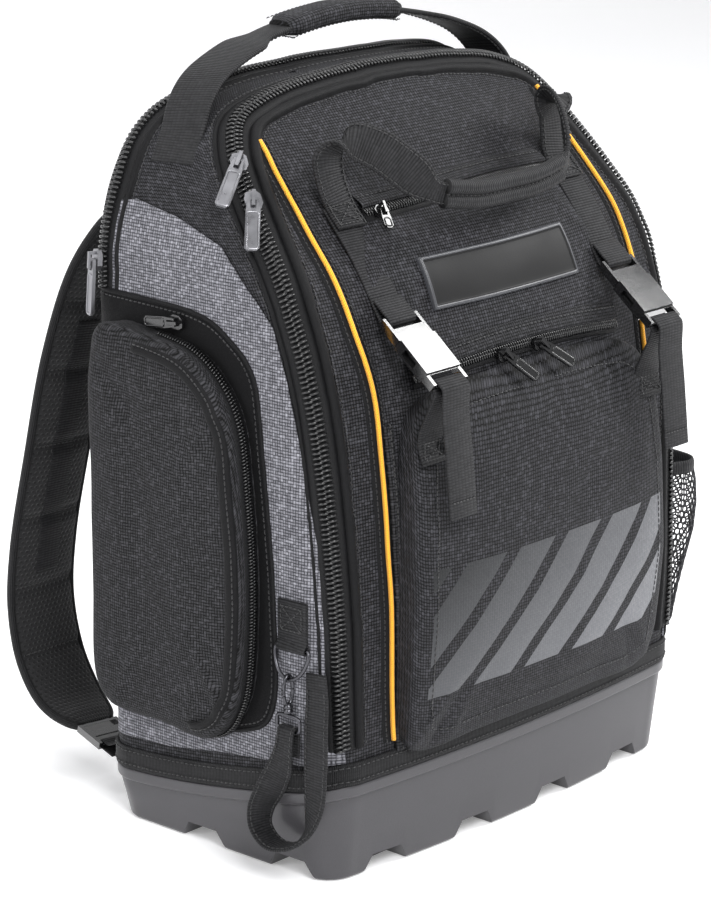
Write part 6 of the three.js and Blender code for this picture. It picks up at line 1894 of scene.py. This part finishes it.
EYE = {"half_width": 10.0, "half_height": 5.5, "wire": 2.4}
barrel_low = base - 6.0
eye_middle = barrel_low - GAP - EYE["wire"] / 2 - EYE["half_height"]
squared = lambda v: math.copysign(abs(v) ** 0.5, v)
line = [(hook_x, TAB["y"] + EYE["half_width"] * squared(math.cos(a)),
         eye_middle + EYE["half_height"] * squared(math.sin(a)))
        for a in np.linspace(0, 2 * math.pi, 61)[:-1] + 0.05]
heap = Heap()
tube(heap, line, EYE["wire"] / 2, 12, loop=True)
heap.make("hook_eye_loop", DARK_STEEL, slot="dark_metal", replaces=["hook_eye"])

eye_low = eye_middle - EYE["half_height"]
radius = EYE["wire"] / 2 + GAP + 0.8 + 0.6
start = [(hook_x + radius, TAB["y"], eye_low - 18), (hook_x + radius, TAB["y"], eye_low - 4)]
start += [(hook_x + radius * math.cos(math.pi * i / 4), TAB["y"],
           eye_low + radius * math.sin(math.pi * i / 4)) for i in range(5)]
LANYARD_ROUTE = [
    (-198.6, -78, 98, 0, 1, 0, 0.75), (-198.8, -75, 84, -0.2, 0.98, 0, 0.9), (-199, -66, 66, -0.6, 0.8, 0, 1),
    (-199.5, -58, 50, -0.9, 0.4, 0.1, 1), (-200, -58, 37, -1, 0.05, 0, 1), (-200, -69, 28, -1, -0.1, 0, 1),
    (-199, -85, 30, -0.9, -0.3, 0.1, 1), (-197, -96, 42, -0.6, -0.75, 0.2, 1),
    (-194.5, -100.5, 60, -0.2, -0.97, 0, 1), (-193.2, -101, 86, 0, -1, 0, 1),
                 (-192.6, -101, 112, 0, -1, 0, 1),
    (-190.4, -100, 132, 0, -1, 0, 0.95), (-189.7, -98.5, 150, 0, -1, 0, 0.85)]
rows = np.array([(*p, 0, 1, 0, 0.72) for p in start] + LANYARD_ROUTE)
heap = Heap()
strip = web(heap, rows, 1.8, strap_section(20, 1.7, 0.7))
heap.make("lanyard_web", WEBBING, slot="webbing", replaces=["lanyard_strap"])
for sign in (-1, 1):
    for out_sign in (-1, 1):
        line = strip[0] + strip[2] * (sign * 7.8 * strip[4])[:, None] + strip[3] * out_sign * 0.85
        stitches(thread, line[10:-6], strip[3][10:-6] * out_sign, 4.0, 2.9, 0.38, lift=0)

# Sliders and their tabs: the hard pieces keep their own form, with rounded edges and a raised rim

SLIDER_LOOK = {"rear": STEEL, "front_upper": STEEL, "front_lower": STEEL, "side_pocket": BLACK_GLOSS,
               "pocket_left": BLACK_GLOSS, "pocket_right": BLACK_GLOSS, "upper_pocket": BLACK_GLOSS}
TABS = {"rear": (9.6, 37, 2, 9), "front_upper": (9.6, 37, 2, 9), "front_lower": (9.6, 37, 2, 9),
        "side_pocket": (7.6, 27, 1.8, 8), "pocket_left": (7.6, 27, 1.8, 8), "pocket_right": (7.6, 27, 1.8, 8),
        "upper_pocket": (7.0, 15, 1.6, 7)}


def dress(node, material, radius, angle=30, segments=2):
    piece = NODES[node]
    piece.data.materials.clear()
    piece.data.materials.append(material)
    bevel = piece.modifiers.new("edge_round", "BEVEL")
    bevel.width = radius * MM
    bevel.segments = segments
    bevel.limit_method = "ANGLE"
    bevel.angle_limit = math.radians(angle)
    bevel.use_clamp_overlap = True
    return piece


def tab_frame(node):
    """Where a flat tab lies: its middle, length, width and thickness directions."""
    co = np.array([v.co for v in NODES[node].data.vertices], float) / MM + MIDDLE
    centred = co - co.mean(0)
    _, _, axes = np.linalg.svd(centred, full_matrices=False)
    spans = [(centred @ axis).max() - (centred @ axis).min() for axis in axes]
    order = np.argsort(spans)[::-1]
    long_axis, wide_axis = axes[order[0]], axes[order[1]]
    spread = co @ long_axis
    middle = co.mean(0)
    middle = middle + long_axis * ((spread.max() + spread.min()) / 2 - middle @ long_axis)
    for axis in (wide_axis, np.cross(long_axis, wide_axis)):
        spread = co @ axis
        middle = middle + axis * ((spread.max() + spread.min()) / 2 - middle @ axis)
    return middle, long_axis, wide_axis, np.cross(long_axis, wide_axis), max(spans)


for word, look in SLIDER_LOOK.items():
    slot = "puller_metal" if look is STEEL else "dark_metal"
    dress("slider_" + word, look, 0.45)
    dress("puller_" + word, look, 0.4)
    wide, long, thick, window = TABS[word]
    middle, ahead, aside, up, span = tab_frame("puller_" + word)
    joint = next(j for j in frame["joints"] if j["name"] == f"puller_{word}_swing")
    pin = np.array(joint["pos"]) / MM + MIDDLE if "pos" in joint else middle
    if (pin - middle) @ ahead < 0:
        ahead = -ahead
    head = span / 2
    top_edge, low_edge = head - window - 1.5, -head + 1.2
    half = wide / 2 - 1.1
    heap = Heap()
    for sign in (-1, 1):
        corners = [(half - 1.6, low_edge), (half - 0.4, low_edge + 0.4), (half, low_edge + 1.6),
                   (half, top_edge - 1.6),
                   (half - 0.4, top_edge - 0.4), (half - 1.6, top_edge)]
        loop = corners + [(-a, b) for a, b in corners[::-1]]
        line = [middle + aside * a + ahead * b + up * sign * (thick / 2 + 0.02) for a, b in loop]
        tube(heap, line, 0.62, 8, loop=True)
    heap.make("tab_rim_" + word, look, body="puller_" + word, slot=slot)

# Hard plastic and the last carried-over pieces

for word in ("left", "right"):
    dress("buckle_plug_" + word, BUCKLE_PLASTIC, 0.7, segments=3)
    dress("buckle_socket_" + word, BUCKLE_PLASTIC, 0.8, segments=3)
    dress("ladder_lock_" + word, BUCKLE_PLASTIC, 0.6, segments=3)

thread.make("seam_stitches", STITCH, slot="black_cloth")

# Floor, light and camera

floor_data = bpy.data.meshes.new("floor")
edge_x, near_y, far_y, wall_z = 4.0, -4.0, 3.2, 4.0
sweep_line = [(near_y, 0.0), (far_y - 1.2, 0.0)]
sweep_line += [(far_y - 1.2 + 1.2 * math.sin(a), 1.2 - 1.2 * math.cos(a)) for a in np.linspace(0.1,
                                                                                               math.pi / 2,
                                                                                               14)]
sweep_line += [(far_y, wall_z)]
floor_points = [(x, y, z - 0.0004) for y, z in sweep_line for x in (-edge_x, edge_x)]
floor_data.from_pydata(floor_points, [],
                       [(2 * i, 2 * i + 1, 2 * i + 3, 2 * i + 2) for i in range(len(sweep_line) - 1)])
floor_data.polygons.foreach_set("use_smooth", [True] * len(floor_data.polygons))
floor = bpy.data.objects.new("floor", floor_data)
bpy.context.scene.collection.objects.link(floor)
paper = Shader("studio_paper", Roughness=0.9, Specular_IOR_Level=0.2, Emission_Color=(1, 1, 1, 1),
               Emission_Strength=0.22)
tone = paper.ramp(paper.noise(2.0, 2.0), [(0.3, (0.90, 0.90, 0.91, 1)), (0.7, (0.92, 0.92, 0.925, 1))])
floor_data.materials.append(paper.finish(tone))

world = bpy.data.worlds.new("studio")
world.use_nodes = True
world.node_tree.nodes["Background"].inputs[0].default_value = (0.98, 0.985, 1.0, 1)
world.node_tree.nodes["Background"].inputs[1].default_value = 0.5
bpy.context.scene.world = world


def softbox(name, place, target, size, watts):
    lamp = bpy.data.lights.new(name, "AREA")
    lamp.shape = "RECTANGLE"
    lamp.size, lamp.size_y = size
    lamp.energy = watts
    holder = bpy.data.objects.new(name, lamp)
    holder.location = place
    holder.rotation_euler = (Vector(target) - Vector(place)).to_track_quat("-Z", "Y").to_euler()
    bpy.context.scene.collection.objects.link(holder)


softbox("key", (-1.2, -1.9, 1.9), (0, 0, 0.25), (1.0, 1.0), 62)
softbox("right", (1.7, -0.95, 1.65), (0, 0, 0.3), (0.9, 1.1), 44)
softbox("left", (-2.3, 0.5, 1.0), (0, 0, 0.3), (0.9, 1.6), 22)
softbox("top", (0.1, 0.4, 2.4), (0, 0, 0.3), (1.4, 1.4), 26)

CAMERA = {"azimuth": -48.098, "elevation": 15.789, "focal": 3411.55, "place": (-1718.078, -1504.045, 885.969)}
turn, lift = math.radians(CAMERA["azimuth"]), math.radians(CAMERA["elevation"])
camera_data = bpy.data.cameras.new("camera")
camera_data.sensor_fit = "AUTO"
camera_data.sensor_width = 36.0
camera_data.lens = CAMERA["focal"] * 36.0 / 904.0
camera_data.clip_end = 30
camera = bpy.data.objects.new("camera", camera_data)
bpy.context.scene.collection.objects.link(camera)
camera.location = to_frame(CAMERA["place"])
camera.rotation_euler = (math.pi / 2 - lift, 0, turn)
bpy.context.scene.camera = camera
bpy.context.scene.view_settings.view_transform = "Standard"

low, high = cad_box
